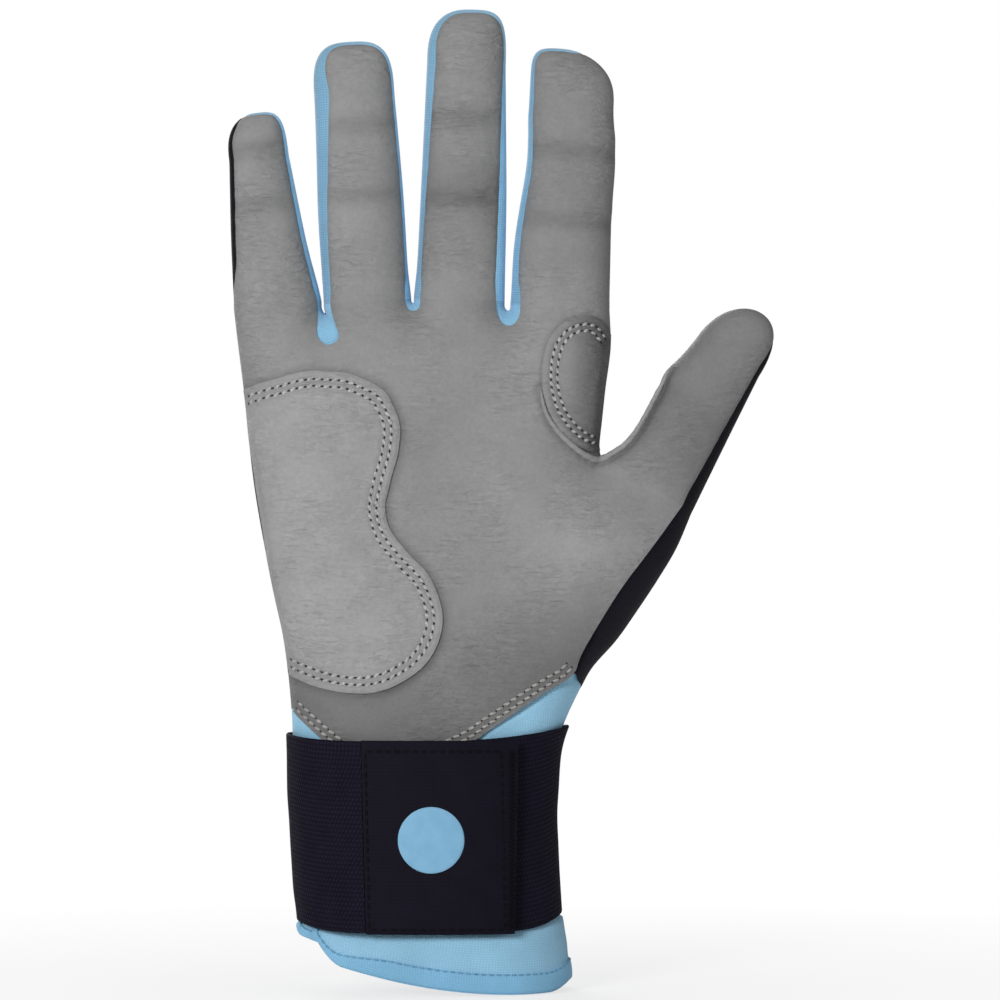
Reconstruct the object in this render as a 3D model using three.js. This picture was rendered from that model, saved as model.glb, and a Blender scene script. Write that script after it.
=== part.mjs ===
// Batting glove for the right hand, in millimetres.
// Fingers point up (+Z), the palm faces -Y and the thumb is on the +X side.
// The origin is the middle of the cuff's mouth, where the hand goes in.

import * as THREE from "three";
import { mergeVertices } from "three/addons/utils/BufferGeometryUtils.js";

const { lerp, smoothstep, degToRad } = THREE.MathUtils;

// Thicknesses and fits
const LEATHER = 1.0;
const BACK_CLOTH = 1.0;
const SIDE_CLOTH = 0.9;
const CUFF_CLOTH = 1.2;
const BINDING_CLOTH = 0.6;
const STRAP_WEB = 1.2;
const HOOK_AND_LOOP = 0.6;
const PAD_FOAM = 0.9;
const SEAM_GAP = 0.3;

// How square every cross-section is: 2 is an ellipse, larger is boxier
const ROUNDNESS = 2.4;

// Fingers, from the little finger to the index finger. Widths are across the finger at its knuckle fold
// and where the tip starts to round, length is from the knuckle fold to the tip, fold is from one fold to
// the next, lean is in degrees towards the thumb, tipDepth is half the thickness at the tip, tipSkew moves
// the top of the tip towards the thumb, and tipRoundness is 2 for an ellipse and larger for a boxier tip.
const LITTLE = {
  name: "little", rootWidth: 21.9, tipWidth: 16.4, length: 50.3, fold: 24, capHeight: 12, lean: -6.3,
  knuckleHeight: 177.2, tipDepth: 7.4, tipSkew: 0, tipRoundness: 2.8, walls: "inner",
};
const RING = {
  name: "ring", rootWidth: 22.2, tipWidth: 20.8, length: 67.2, fold: 29, capHeight: 13.5, lean: -3.3,
  knuckleHeight: 178.3, tipDepth: 8.4, tipSkew: 0, tipRoundness: 3.1, walls: "both",
};
const MIDDLE = {
  name: "middle", rootWidth: 23.1, tipWidth: 20.4, length: 75.1, fold: 31, capHeight: 14, lean: 1.6,
  knuckleHeight: 178.7, tipDepth: 8.6, tipSkew: 1.5, tipRoundness: 3, walls: "both",
};
const INDEX = {
  name: "index", rootWidth: 25.8, tipWidth: 22, length: 66.6, fold: 30, capHeight: 14.5, lean: 3.2,
  knuckleHeight: 176.9, tipDepth: 8.6, tipSkew: -4.5, tipRoundness: 2.7, walls: "inner",
};
const FINGERS = [LITTLE, RING, MIDDLE, INDEX];
const ULNAR_REACH = 49.1;      // from the middle of the wrist out to the little finger's knuckle
const ROOT_DEPTH = 11;         // half the thickness of every finger at its knuckle fold
const CROTCH_RADIUS = 0.8;     // half the gap between two fingers at its closed end
const WALL_HALF_DEPTH = 6;     // half the depth of a finger's side wall
const FINGER_CURL = 5;         // how far a fingertip leans towards the palm side

// Thumb, with the same meanings
const THUMB = {
  name: "thumb", rootWidth: 28, tipWidth: 19, length: 53, fold: 20, capHeight: 14, lean: 32.5,
  tipDepth: 8.6, tipSkew: 1.2, tipRoundness: 2.1, rootDepth: 12, curl: 7, innerBow: 2.4,
};
const THUMB_CENTRE_REACH = 9.5;    // thumb's fold, beyond the index finger's outer edge
const THUMB_CENTRE_HEIGHT = 131;
const THUMB_WALL_DEPTH = 5;        // how far the dark back comes round the thumb's outer side
const BOW_FADE = 4;                // how soon the hollow of the thumb's inner side fades towards the tip

// Palm
const PALM_DEPTH = 15.5;           // half the thickness in the middle of the palm
const PALM_ROUND = 22;             // width of the rounded border of the palm
const HEEL_REACH = 43;             // from the middle of the wrist out to the heel of the hand
const HEEL_HEIGHT = 128;
const THENAR_REACH = 58;           // and out to the ball of the thumb
const THENAR_HEIGHT = 102;
const PALM_TOP_BLEND = 36;         // height over which the palm turns into the finger roots
const THENAR_SWELL = 4;            // extra thickness of the ball of the thumb
const THENAR_SIZE = 16;
const THENAR_INSET = 16;           // ball of the thumb, in from the thumb fold
const THENAR_DROP = 20;            // and below it
const SIDE_PANEL_BOTTOM = 7;       // width of the dark side panel at the wrist
const SIDE_PANEL_TOP = 4.5;        // and at the thumb fold
const SIDE_PANEL_EASE = 0.9;       // seam between it and the leather

// Wrist, cuff and strap
const WRIST_HALF_WIDTH = 33.5;
const WRIST_HALF_DEPTH = 21;
const WRIST_TOP = 70;              // height where the wrist ends and the hand widens
const PALM_BLEND_HEIGHT = 40;      // height over which the wrist turns into the palm
const PALM_POINT_HEIGHT = 57;      // the leather's lowest point, under the strap
const PALM_POINT_OFFSET = 9.7;     // of that point towards the little finger
const PALM_CORNER_ULNAR = 77;      // height of the leather's lower corners
const PALM_CORNER_RADIAL = 83;
const BACK_BOTTOM = 60;
const CUFF_TOP = 82;               // of its palm part, under the leather; the back part ends at the back panel
const WRIST_LEAN = 2.6;            // how far the cuff's mouth lies towards the thumb
const WAIST_BOTTOM = 58;           // on the thumb side the wrist widens from this height
const WAIST_MIDDLE = 69;
const WAIST_FLARE = 2.4;           // by this much there
const WAIST_REACH = 42.9;          // and to this at the leather's lower corner
const CUFF_FLARE = 3.6;            // how much wider the cuff's mouth is on the thumb side
const FLARE_HEIGHT = 18;
const HEM_LOW_X = 22;              // where the palm-side hem is lowest
const HEM_RISE = 8.8;              // rise of the hem from there to the slit
const HEM_CORNER_RISE = 4.5;        // extra rise of its rounded corner at the slit
const HEM_CORNER = 6;
const BACK_HEM_RADIAL = 1.6;       // height of the back hem at its two ends
const BACK_HEM_ULNAR = 13.5;
const SLIT_X = 28.4;               // slit in the cuff, on the little-finger side of the palm, at the hem
const SLIT_START = 18;             // height from which the slit runs back to the side of the wrist
const BINDING_HEIGHT = 4.4;
const STRAP_HEIGHT = 49;
const STRAP_LOW = 15;              // height of the strap's lower edge in the middle
const STRAP_SAG = 3.2;             // how much higher it is at the sides
const STRAP_TILT = 1.6;            // extra height on the thumb side
const TAB_START_X = 16.5;          // closing tab, from here on the little-finger side
const TAB_LENGTH = 43;
const PATCH_START = 8;             // hook patch, in from the tab's fold
const PATCH_LENGTH = 32;
const PATCH_MARGIN = 5;            // above and below the patches

// Pads sewn on the palm
const PAD_RISE = 0.3;              // lift of the pad's leather over the palm
const PAD_INSET = 4;               // from the edge of the hand to the pad's solid
const FOAM_INSET = 9;              // from the pad's edge to the foam
const HEEL_PAD_TOP = 158.5;
const HEEL_PAD_BOTTOM = 78;
const HEEL_PAD_SHAPE = [           // height, and how far the pad's free edge is from the middle of the wrist
  [78, -9.7], [81.5, -2.7], [86, 2.1], [92, 4.6], [99, 4.1], [106, 0.4], [113, -5.3], [119, -9.9],
  [125, -11.7], [131, -10.1], [138, -6.9], [145, -5.5], [151, -7.3], [155.5, -11.7], [158.5, -19.7],
];
const CROTCH_PATCH_WIDTH = 15;     // from the index finger's outer edge
const CROTCH_PATCH_RISE = 3.5;     // its lower end, above the thumb's inner corner
const CROTCH_PATCH_HEIGHT = 31;
const CROTCH_PATCH_END = 0.5;      // its width at its ends, as a share of its full width
const CROTCH_PATCH_SQUARENESS = 4;

const MATERIALS = {
  leather: new THREE.MeshStandardMaterial({ color: "#8a8a8a", roughness: 0.65 }),
  navy: new THREE.MeshStandardMaterial({ color: "#1a1826", roughness: 0.75 }),
  blue: new THREE.MeshStandardMaterial({ color: "#88b6d0", roughness: 0.85 }),
  darkBlue: new THREE.MeshStandardMaterial({ color: "#7eaecc", roughness: 0.85 }),
  web: new THREE.MeshStandardMaterial({ color: "#191725", roughness: 0.9 }),
  foam: new THREE.MeshStandardMaterial({ color: "#d8d4c8", roughness: 0.95 }),
};

const glove = new THREE.Group();
glove.name = "batting_glove";

// Plan points are (x, z) pairs held in Vector2; depth is along Y.
const plan = (x, z) => new THREE.Vector2(x, z);
const solidPoint = (at, y) => new THREE.Vector3(at.x, y, at.y);

// Share of the half-width that is left at a given share of the half-depth.
function bulge(share) {
  return Math.pow(Math.max(0, 1 - Math.pow(Math.min(1, Math.abs(share)), ROUNDNESS)), 1 / ROUNDNESS);
}

// A closed thin panel between an outer and an inner grid of points. Where the last column is a spine that
// both halves of the grid share, there is no wall.
function panelGeometry(outer, inner, sharedSpine = false) {
  const lastRow = outer.length - 1;
  const lastColumn = outer[0].length - 1;
  const positions = [];
  const quad = (a, b, c, d) => {
    for (const point of [a, b, c, a, c, d]) positions.push(point.x, point.y, point.z);
  };
  for (let i = 0; i < lastRow; i++) {
    for (let j = 0; j < lastColumn; j++) {
      quad(outer[i][j], outer[i + 1][j], outer[i + 1][j + 1], outer[i][j + 1]);
      quad(inner[i][j], inner[i][j + 1], inner[i + 1][j + 1], inner[i + 1][j]);
    }
    quad(outer[i][0], inner[i][0], inner[i + 1][0], outer[i + 1][0]);
    if (!sharedSpine) {
      quad(outer[i][lastColumn], outer[i + 1][lastColumn], inner[i + 1][lastColumn], inner[i][lastColumn]);
    }
  }
  for (let j = 0; j < lastColumn; j++) {
    quad(outer[0][j], outer[0][j + 1], inner[0][j + 1], inner[0][j]);
    quad(outer[lastRow][j], inner[lastRow][j], inner[lastRow][j + 1], outer[lastRow][j + 1]);
  }
  return facingOut(positions);
}

// Merges the corners, drops triangles with no area and turns the surface to face outwards.
function facingOut(positions) {
  const loose = new THREE.BufferGeometry();
  loose.setAttribute("position", new THREE.Float32BufferAttribute(positions, 3));
  const merged = mergeVertices(loose, 1e-3);
  const at = (index) => new THREE.Vector3().fromBufferAttribute(merged.attributes.position, index);
  const kept = [];
  let volume = 0;
  for (let i = 0; i < merged.index.count; i += 3) {
    const [a, b, c] = [0, 1, 2].map((k) => merged.index.getX(i + k));
    if (a === b || b === c || a === c) continue;
    kept.push([a, b, c]);
    volume += at(a).dot(at(b).cross(at(c)));
  }
  merged.setIndex(kept.flatMap(([a, b, c]) => (volume > 0 ? [a, b, c] : [a, c, b])));
  merged.computeVertexNormals();
  return merged;
}

function addMesh(parent, name, geometry, material) {
  const offset = new THREE.Vector3();
  for (let group = parent; group !== glove; group = group.parent) offset.add(group.position);
  geometry.translate(-offset.x, -offset.y, -offset.z);
  const mesh = new THREE.Mesh(geometry, material);
  mesh.name = name;
  parent.add(mesh);
  return mesh;
}

// A group whose own origin is the fold that it turns about.
function addBody(parent, name, pivot) {
  const body = new THREE.Group();
  body.name = name;
  const offset = new THREE.Vector3();
  for (let group = parent; group !== glove; group = group.parent) offset.add(group.position);
  body.position.copy(pivot).sub(offset);
  parent.add(body);
  return body;
}

// Fingers and thumb

// Works out a finger's spine and outline in the plan.
function makeDigit(spec, centre, rootDepth, curl) {
  const lean = degToRad(spec.lean);
  const along = plan(Math.sin(lean), Math.cos(lean));
  const across = plan(Math.cos(lean), -Math.sin(lean));
  const shaft = spec.length - spec.capHeight;
  const capCentre = centre.clone().addScaledVector(along, shaft);
  const bow = spec.innerBow ?? 0;
  const bowPeak = Math.pow(BOW_FADE / (1 + BOW_FADE), BOW_FADE) / (1 + BOW_FADE);

  // One place on the outline of the shaft, a distance up from the root, on the left (-1) or right (1) side
  const shaftStation = (distance, side) => {
    const share = distance / shaft;
    const spine = centre.clone().addScaledVector(along, distance);
    let half = lerp(spec.rootWidth, spec.tipWidth, share) / 2;
    if (side < 0) half -= bow * share * Math.pow(1 - share, BOW_FADE) / bowPeak;
    const edge = spine.clone().addScaledVector(across, side * half);
    const depth = lerp(rootDepth, spec.tipDepth, share);
    const middle = -curl * share * share;
    return { spine, edge, depth, spineMiddle: middle, edgeMiddle: middle };
  };

  // One place round the tip, at an angle from 180 degrees on the left to 0 on the right
  const capStation = (degrees) => {
    const angle = degToRad(degrees);
    const squared = (value) => Math.sign(value) * Math.pow(Math.abs(value), 2 / spec.tipRoundness);
    const sideways = squared(Math.cos(angle)) * spec.tipWidth / 2 + spec.tipSkew * Math.sin(angle) ** 2;
    const forward = squared(Math.sin(angle)) * spec.capHeight;
    const edge = capCentre.clone().addScaledVector(across, sideways).addScaledVector(along, forward);
    const slope = 2 * curl / shaft;
    return {
      spine: capCentre, edge, depth: spec.tipDepth, spineMiddle: -curl, edgeMiddle: -curl - slope * forward,
    };
  };

  return { spec, centre, along, across, shaft, rootDepth, curl, shaftStation, capStation };
}

// The surface at a station: depth share -1 is the palm side's middle line, 0 the outline, 1 the back's.
function digitPoint(station, depthShare, inset) {
  const width = station.edge.distanceTo(station.spine);
  const reach = bulge(depthShare);
  const at = station.spine.clone().lerp(station.edge, reach * (1 - inset / width));
  const middle = lerp(station.spineMiddle, station.edgeMiddle, reach);
  return solidPoint(at, middle + depthShare * (station.depth - inset));
}

// Depth shares from a panel's edge to the spine, closer together where the surface turns fastest
function depthShares(edgeDepth, station, side, steps) {
  const start = Math.asin(Math.min(1, Math.max(-1, edgeDepth / station.depth)));
  const end = side * Math.PI / 2;
  const shares = [];
  for (let k = 0; k <= steps; k++) shares.push(Math.sin(lerp(start, end, k / steps)));
  return shares;
}

const PANEL_STEPS = 4;
const WALL_STEPS = 3;
const SHAFT_STEPS = 3;
const CAP_ANGLES = [180, 155, 130, 105, 90, 75, 50, 25, 0];

// A front (-1) or back (1) panel of a finger between two distances up its shaft. leftDepth and rightDepth
// say at which depth its two edges run.
function shaftPanel(digit, from, to, side, leftDepth, rightDepth, thickness) {
  const grids = [0, thickness].map((inset) => {
    const grid = [];
    for (let i = 0; i <= SHAFT_STEPS; i++) {
      const distance = lerp(from, to, i / SHAFT_STEPS);
      const left = digit.shaftStation(distance, -1);
      const right = digit.shaftStation(distance, 1);
      const row = depthShares(leftDepth, left, side, PANEL_STEPS).map((s) => digitPoint(left, s, inset));
      const other = depthShares(rightDepth, right, side, PANEL_STEPS).map((s) => digitPoint(right, s, inset));
      grid.push(row.concat(other.reverse().slice(1)));
    }
    return grid;
  });
  return panelGeometry(grids[0], grids[1]);
}

// Stations up the left side from a distance, round the tip and down the right side
function tipStations(digit, from) {
  const distances = [];
  for (let i = 0; i < SHAFT_STEPS; i++) distances.push(lerp(from, digit.shaft, i / SHAFT_STEPS));
  const left = distances.map((d) => ({ ...digit.shaftStation(d, -1), degrees: 180 }));
  const cap = CAP_ANGLES.map((a) => ({ ...digit.capStation(a), degrees: a }));
  const right = distances.map((d) => ({ ...digit.shaftStation(d, 1), degrees: 0 })).reverse();
  return left.concat(cap, right);
}

// The front or back panel of a fingertip. edgeDepth gives the depth of its edge at a tip angle.
function tipPanel(digit, from, side, edgeDepth, thickness) {
  const stations = tipStations(digit, from);
  const grids = [0, thickness].map((inset) => stations.map((station) => {
    const shares = depthShares(edgeDepth(station.degrees), station, side, PANEL_STEPS);
    return shares.map((share) => digitPoint(station, share, inset));
  }));
  return panelGeometry(grids[0], grids[1], true);
}

// A side wall along a row of stations. halfDepthAt gives half its depth at a station.
function wallPanel(stations, halfDepthAt, thickness) {
  const grids = [0, thickness].map((inset) => stations.map((station) => {
    const halfDepth = halfDepthAt(station);
    const row = [];
    for (let k = 0; k <= WALL_STEPS; k++) {
      row.push(digitPoint(station, lerp(-halfDepth, halfDepth, k / WALL_STEPS) / station.depth, inset));
    }
    return row;
  }));
  return panelGeometry(grids[0], grids[1]);
}

const halfGap = SEAM_GAP / 2;
const panelEdge = WALL_HALF_DEPTH + halfGap;
const wallEdge = WALL_HALF_DEPTH - halfGap;
const WALL_END = 0.7;          // half the depth of a side wall where it runs out at the tip
const WALL_FADE_DEGREES = 40;  // how far past the top of the tip that is

// Places the fingers side by side across the knuckles.
const digits = [];
let nextLeft = -ULNAR_REACH;
for (const spec of FINGERS) {
  const half = spec.rootWidth / 2 * Math.cos(degToRad(spec.lean));
  digits.push(makeDigit(spec, plan(nextLeft + half, spec.knuckleHeight), ROOT_DEPTH, FINGER_CURL));
  nextLeft += 2 * half + 2 * CROTCH_RADIUS;
}
const [little, , , index] = digits;
const rootEnd = (digit, side) => digit.shaftStation(0, side).edge;
const thumbCentre = plan(rootEnd(index, 1).x + THUMB_CENTRE_REACH, THUMB_CENTRE_HEIGHT);
const thumb = makeDigit(THUMB, thumbCentre, THUMB.rootDepth, THUMB.curl);

// The place on the palm-side skin that a fold turns about
function foldPivot(digit, distance) {
  const station = digit.shaftStation(distance, 1);
  return solidPoint(station.spine, station.spineMiddle - station.depth);
}

for (const digit of digits) {
  const name = digit.spec.name;
  const fold = digit.spec.fold;
  const outerSide = digit === little ? -1 : 1;
  const bothWalls = digit.spec.walls === "both";
  const leftOpen = bothWalls || outerSide > 0;
  const rightOpen = bothWalls || outerSide < 0;
  const lower = addBody(glove, name + "_lower", foldPivot(digit, 0));
  const upper = addBody(lower, name + "_upper", foldPivot(digit, fold));
  const leftDepth = leftOpen ? panelEdge : halfGap;
  const rightDepth = rightOpen ? panelEdge : halfGap;

  addMesh(lower, name + "_front_lower",
    shaftPanel(digit, halfGap, fold - halfGap, -1, -leftDepth, -rightDepth, LEATHER), MATERIALS.leather);
  addMesh(lower, name + "_back_lower",
    shaftPanel(digit, halfGap, fold - halfGap, 1, leftDepth, rightDepth, BACK_CLOTH), MATERIALS.navy);
  for (const side of [-1, 1]) {
    if (side < 0 ? !leftOpen : !rightOpen) continue;
    const stations = [];
    for (let i = 0; i <= SHAFT_STEPS; i++) {
      stations.push(digit.shaftStation(lerp(halfGap, fold - halfGap, i / SHAFT_STEPS), side));
    }
    const label = side < 0 ? "_wall_lower_ulnar" : "_wall_lower_radial";
    addMesh(lower, name + label, wallPanel(stations, () => wallEdge, SIDE_CLOTH), MATERIALS.blue);
  }

  // The wall of an outer finger runs out just past the top of the tip, where front and back meet instead.
  const past = (degrees) => (bothWalls ? 0 : Math.max(0, outerSide * (90 - degrees)) / WALL_FADE_DEGREES);
  const wallDepth = (degrees) => lerp(WALL_HALF_DEPTH, WALL_END, past(degrees));
  const open = (degrees) => past(degrees) <= 1;
  const edgeDepth = (degrees) => (open(degrees) ? wallDepth(degrees) : 0) + halfGap;
  addMesh(upper, name + "_front_upper",
    tipPanel(digit, fold + halfGap, -1, (a) => -edgeDepth(a), LEATHER), MATERIALS.leather);
  addMesh(upper, name + "_back_upper",
    tipPanel(digit, fold + halfGap, 1, edgeDepth, BACK_CLOTH), MATERIALS.navy);
  const walled = tipStations(digit, fold + halfGap).filter((station) => open(station.degrees));
  const walledDepth = (station) => wallDepth(station.degrees) - halfGap;
  addMesh(upper, name + "_wall_upper", wallPanel(walled, walledDepth, SIDE_CLOTH), MATERIALS.blue);
}

{
  const fold = THUMB.fold;
  const lower = addBody(glove, "thumb_lower", foldPivot(thumb, 0));
  const upper = addBody(lower, "thumb_upper", foldPivot(thumb, fold));
  addMesh(lower, "thumb_front_lower",
    shaftPanel(thumb, halfGap, fold - halfGap, -1, -halfGap, -THUMB_WALL_DEPTH - halfGap, LEATHER),
    MATERIALS.leather);
  addMesh(lower, "thumb_back_lower",
    shaftPanel(thumb, halfGap, fold - halfGap, 1, halfGap, -THUMB_WALL_DEPTH + halfGap, BACK_CLOTH),
    MATERIALS.navy);
  const wrapDepth = (degrees) => (degrees < 90 ? THUMB_WALL_DEPTH * (1 - degrees / 90) : 0);
  addMesh(upper, "thumb_front_upper",
    tipPanel(thumb, fold + halfGap, -1, (a) => -wrapDepth(a) - halfGap, LEATHER), MATERIALS.leather);
  addMesh(upper, "thumb_back_upper",
    tipPanel(thumb, fold + halfGap, 1, (a) => -wrapDepth(a) + halfGap, BACK_CLOTH), MATERIALS.navy);
}

// Hand

// Outline of the hand between the digits and the wrist
const thumbOuter = rootEnd(thumb, 1);
const thumbInner = rootEnd(thumb, -1);
const wristLean = (height) => WRIST_LEAN * (1 - height / WRIST_TOP);
const wristEdge = (side, height, flare) => plan(side * WRIST_HALF_WIDTH + wristLean(height) + flare, height);
const ulnarEdge = [rootEnd(little, -1), plan(-HEEL_REACH, HEEL_HEIGHT), wristEdge(-1, WRIST_TOP, 0),
  wristEdge(-1, 0, 0)];
const thenarEdge = [thumbOuter, plan(THENAR_REACH, THENAR_HEIGHT), plan(WAIST_REACH, PALM_CORNER_RADIAL),
  wristEdge(1, WAIST_MIDDLE, WAIST_FLARE), wristEdge(1, WAIST_BOTTOM, 0), wristEdge(1, FLARE_HEIGHT, 0),
  wristEdge(1, 0, CUFF_FLARE)];
const radialEdge = [rootEnd(index, 1), thumbInner];

// The closed end of the gap between each two fingers
const crotches = digits.slice(1).map((right, i) => {
  const left = digits[i];
  const a = rootEnd(left, 1);
  const b = rootEnd(right, -1);
  return { left, right, centre: plan((a.x + b.x) / 2, Math.min(a.y, b.y) - halfGap), a, b };
});
const stubEdges = crotches.flatMap(({ centre, a, b }) => [
  [plan(centre.x - CROTCH_RADIUS, centre.y), a],
  [plan(centre.x + CROTCH_RADIUS, centre.y), b],
]);

function distanceToLine(point, line) {
  let nearest = Infinity;
  for (let i = 0; i + 1 < line.length; i++) {
    const step = line[i + 1].clone().sub(line[i]);
    const share = THREE.MathUtils.clamp(point.clone().sub(line[i]).dot(step) / step.lengthSq(), 0, 1);
    nearest = Math.min(nearest, point.distanceTo(line[i].clone().addScaledVector(step, share)));
  }
  return nearest;
}

function edgeDistance(point) {
  const lines = [ulnarEdge, thenarEdge, radialEdge, ...stubEdges].map((line) => distanceToLine(point, line));
  const arcs = crotches.map(({ centre }) => point.distanceTo(centre) - CROTCH_RADIUS);
  return Math.max(0, Math.min(...lines, ...arcs));
}

// Where a line of plan points is at a height
function xAtHeight(line, height) {
  const rising = line[0].y < line[line.length - 1].y ? line : [...line].reverse();
  let k = 0;
  while (k + 2 < rising.length && rising[k + 1].y < height) k++;
  const share = (height - rising[k].y) / (rising[k + 1].y - rising[k].y);
  return lerp(rising[k].x, rising[k + 1].x, share);
}

const thenarCentre = thumbCentre.clone().add(plan(-THENAR_INSET, -THENAR_DROP));

// How far the hand's surface is from its middle plane at a plan point, on the palm (-1) or back (1) side.
// grow moves the surface outwards.
function handDepth(point, side, grow) {
  const lowest = Math.min(...digits.map((digit) => digit.centre.y));
  const palm = smoothstep(point.y, WRIST_TOP, WRIST_TOP + PALM_BLEND_HEIGHT);
  const roots = smoothstep(point.y, lowest - PALM_TOP_BLEND, lowest);
  const beyond = point.clone().sub(thumbCentre).dot(thumb.along);
  const nearThumb = smoothstep(beyond, -THENAR_DROP, 0)
    * smoothstep(point.x, thumbInner.x - THENAR_INSET, thumbInner.x + CROTCH_RADIUS);
  let depth = lerp(lerp(WRIST_HALF_DEPTH, PALM_DEPTH, palm), ROOT_DEPTH, roots);
  let round = lerp(lerp(WRIST_HALF_WIDTH, PALM_ROUND, palm), ROOT_DEPTH, roots);
  depth = lerp(depth, THUMB.rootDepth, nearThumb);
  round = lerp(round, THUMB.rootWidth / 2, nearThumb);
  if (side < 0) {
    const away = point.distanceTo(thenarCentre) / THENAR_SIZE;
    depth += THENAR_SWELL * Math.exp(-away * away) * (1 - nearThumb);
  }
  const inward = Math.min(1, Math.max(0, (edgeDistance(point) + grow) / (round + grow)));
  return (depth + grow) * bulge(1 - inward);
}

function handPoint(point, side, grow) {
  return solidPoint(point, side * Math.max(halfGap, handDepth(point, side, grow)));
}

// A panel from a grid of points on its outer face. Its inner face is the same grid, moved in along the surface.
function sheetPanel(grid, thickness) {
  const normals = grid.map((row, i) => row.map((point, j) => {
    const before = grid[Math.max(0, i - 1)][j];
    const after = grid[Math.min(grid.length - 1, i + 1)][j];
    const left = row[Math.max(0, j - 1)];
    const right = row[Math.min(row.length - 1, j + 1)];
    return after.clone().sub(before).cross(right.clone().sub(left)).normalize();
  }));
  const middle = normals[Math.floor(grid.length / 2)][Math.floor(grid[0].length / 2)];
  const side = Math.sign(grid[1][1].y);
  const outward = Math.sign(middle.y) === side ? 1 : -1;
  const inner = grid.map((row, i) => row.map((point, j) => {
    const moved = point.clone().addScaledVector(normals[i][j], -outward * thickness);
    moved.y = side * Math.max(halfGap, side * moved.y);
    return moved;
  }));
  return panelGeometry(grid, inner);
}

const ROOT_STEPS = 4;              // across one finger's root

// The line along the finger roots: across each finger at its fold, and down round each closed gap
function rootLine() {
  const wallInset = (half) => half * (1 - bulge(panelEdge / ROOT_DEPTH));
  const line = [];
  digits.forEach((digit, i) => {
    const left = rootEnd(digit, -1).addScaledVector(digit.along, -halfGap);
    const right = rootEnd(digit, 1).addScaledVector(digit.along, -halfGap);
    const half = digit.spec.rootWidth / 2;
    const inset = wallInset(half) / (2 * half);
    if (i === 0) line.push(left);
    for (let k = 0; k <= ROOT_STEPS; k++) {
      line.push(left.clone().lerp(right, lerp(inset, 1 - inset, k / ROOT_STEPS)));
    }
    if (i < crotches.length) {
      const { centre } = crotches[i];
      line.push(plan(centre.x, centre.y - CROTCH_RADIUS - wallInset(half)));
    } else {
      line.push(right);
    }
  });
  return line;
}

const HAND_ROWS = 12;
const NOTCH_FADE = 6;

// Shares of the height for the rows of a hand grid: even steps, moved to meet each corner of the right side
function rowShares(rightLine, low, high) {
  const shares = [];
  for (let i = 0; i <= HAND_ROWS; i++) shares.push(i / HAND_ROWS);
  for (const corner of rightLine) {
    const share = (corner.y - low) / (high - low);
    const nearest = Math.round(share * HAND_ROWS);
    if (nearest > 0 && nearest < HAND_ROWS) shares[nearest] = share;
  }
  return shares;
}

// A grid over the hand between a lower edge, given as a height at each share of the width, two side lines
// and the finger roots.
function handGrid(leftLine, rightLine, lowerHeight, side) {
  const top = rootLine();
  const first = top[0];
  const last = top[top.length - 1];
  return rowShares(rightLine, lowerHeight(1), last.y).map((share) =>
    top.map((above) => {
      const sideways = (above.x - first.x) / (last.x - first.x);
      const left = plan(0, lerp(lowerHeight(0), first.y, share));
      const right = plan(0, lerp(lowerHeight(1), last.y, share));
      left.x = xAtHeight(leftLine, left.y);
      right.x = xAtHeight(rightLine, right.y);
      const at = left.clone().lerp(right, sideways);
      at.y += (1 - share) * (lowerHeight(sideways) - lerp(lowerHeight(0), lowerHeight(1), sideways));
      const notch = above.clone().sub(first.clone().lerp(last, sideways));
      at.addScaledVector(notch, Math.pow(share, NOTCH_FADE));
      return handPoint(at, side, 0);
    }));
}

// The thumb's fold as a line, drawn back by half the seam gap
const foldLine = (from, to) => [from, to].map((share) =>
  thumbInner.clone().lerp(thumbOuter, share).addScaledVector(thumb.along, -halfGap));
const sidePanelTop = 1 - SIDE_PANEL_TOP / THUMB.rootWidth;
const leatherCorner = plan(xAtHeight(thenarEdge, PALM_CORNER_RADIAL) - SIDE_PANEL_BOTTOM, PALM_CORNER_RADIAL);
const leatherSide = [leatherCorner, ...foldLine(sidePanelTop, 0), rootEnd(index, 1)];
leatherSide[1].addScaledVector(thumb.across, -halfGap);
leatherSide[0].x -= halfGap;

// Height of the leather's lower edge: down to a point under the strap
function leatherBottom(share) {
  const left = xAtHeight(ulnarEdge, PALM_CORNER_ULNAR);
  const point = (-PALM_POINT_OFFSET - left) / (leatherCorner.x - left);
  return share < point
    ? lerp(PALM_CORNER_ULNAR, PALM_POINT_HEIGHT, share / point)
    : lerp(PALM_POINT_HEIGHT, PALM_CORNER_RADIAL, (share - point) / (1 - point));
}

addMesh(glove, "palm_leather", sheetPanel(handGrid(ulnarEdge, leatherSide, leatherBottom, -1), LEATHER),
  MATERIALS.leather);
const backSide = [...thenarEdge.slice(1).reverse(), ...foldLine(1, 0), rootEnd(index, 1)];
addMesh(glove, "back_panel", sheetPanel(handGrid(ulnarEdge, backSide, () => BACK_BOTTOM, 1), BACK_CLOTH),
  MATERIALS.navy);

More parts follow.
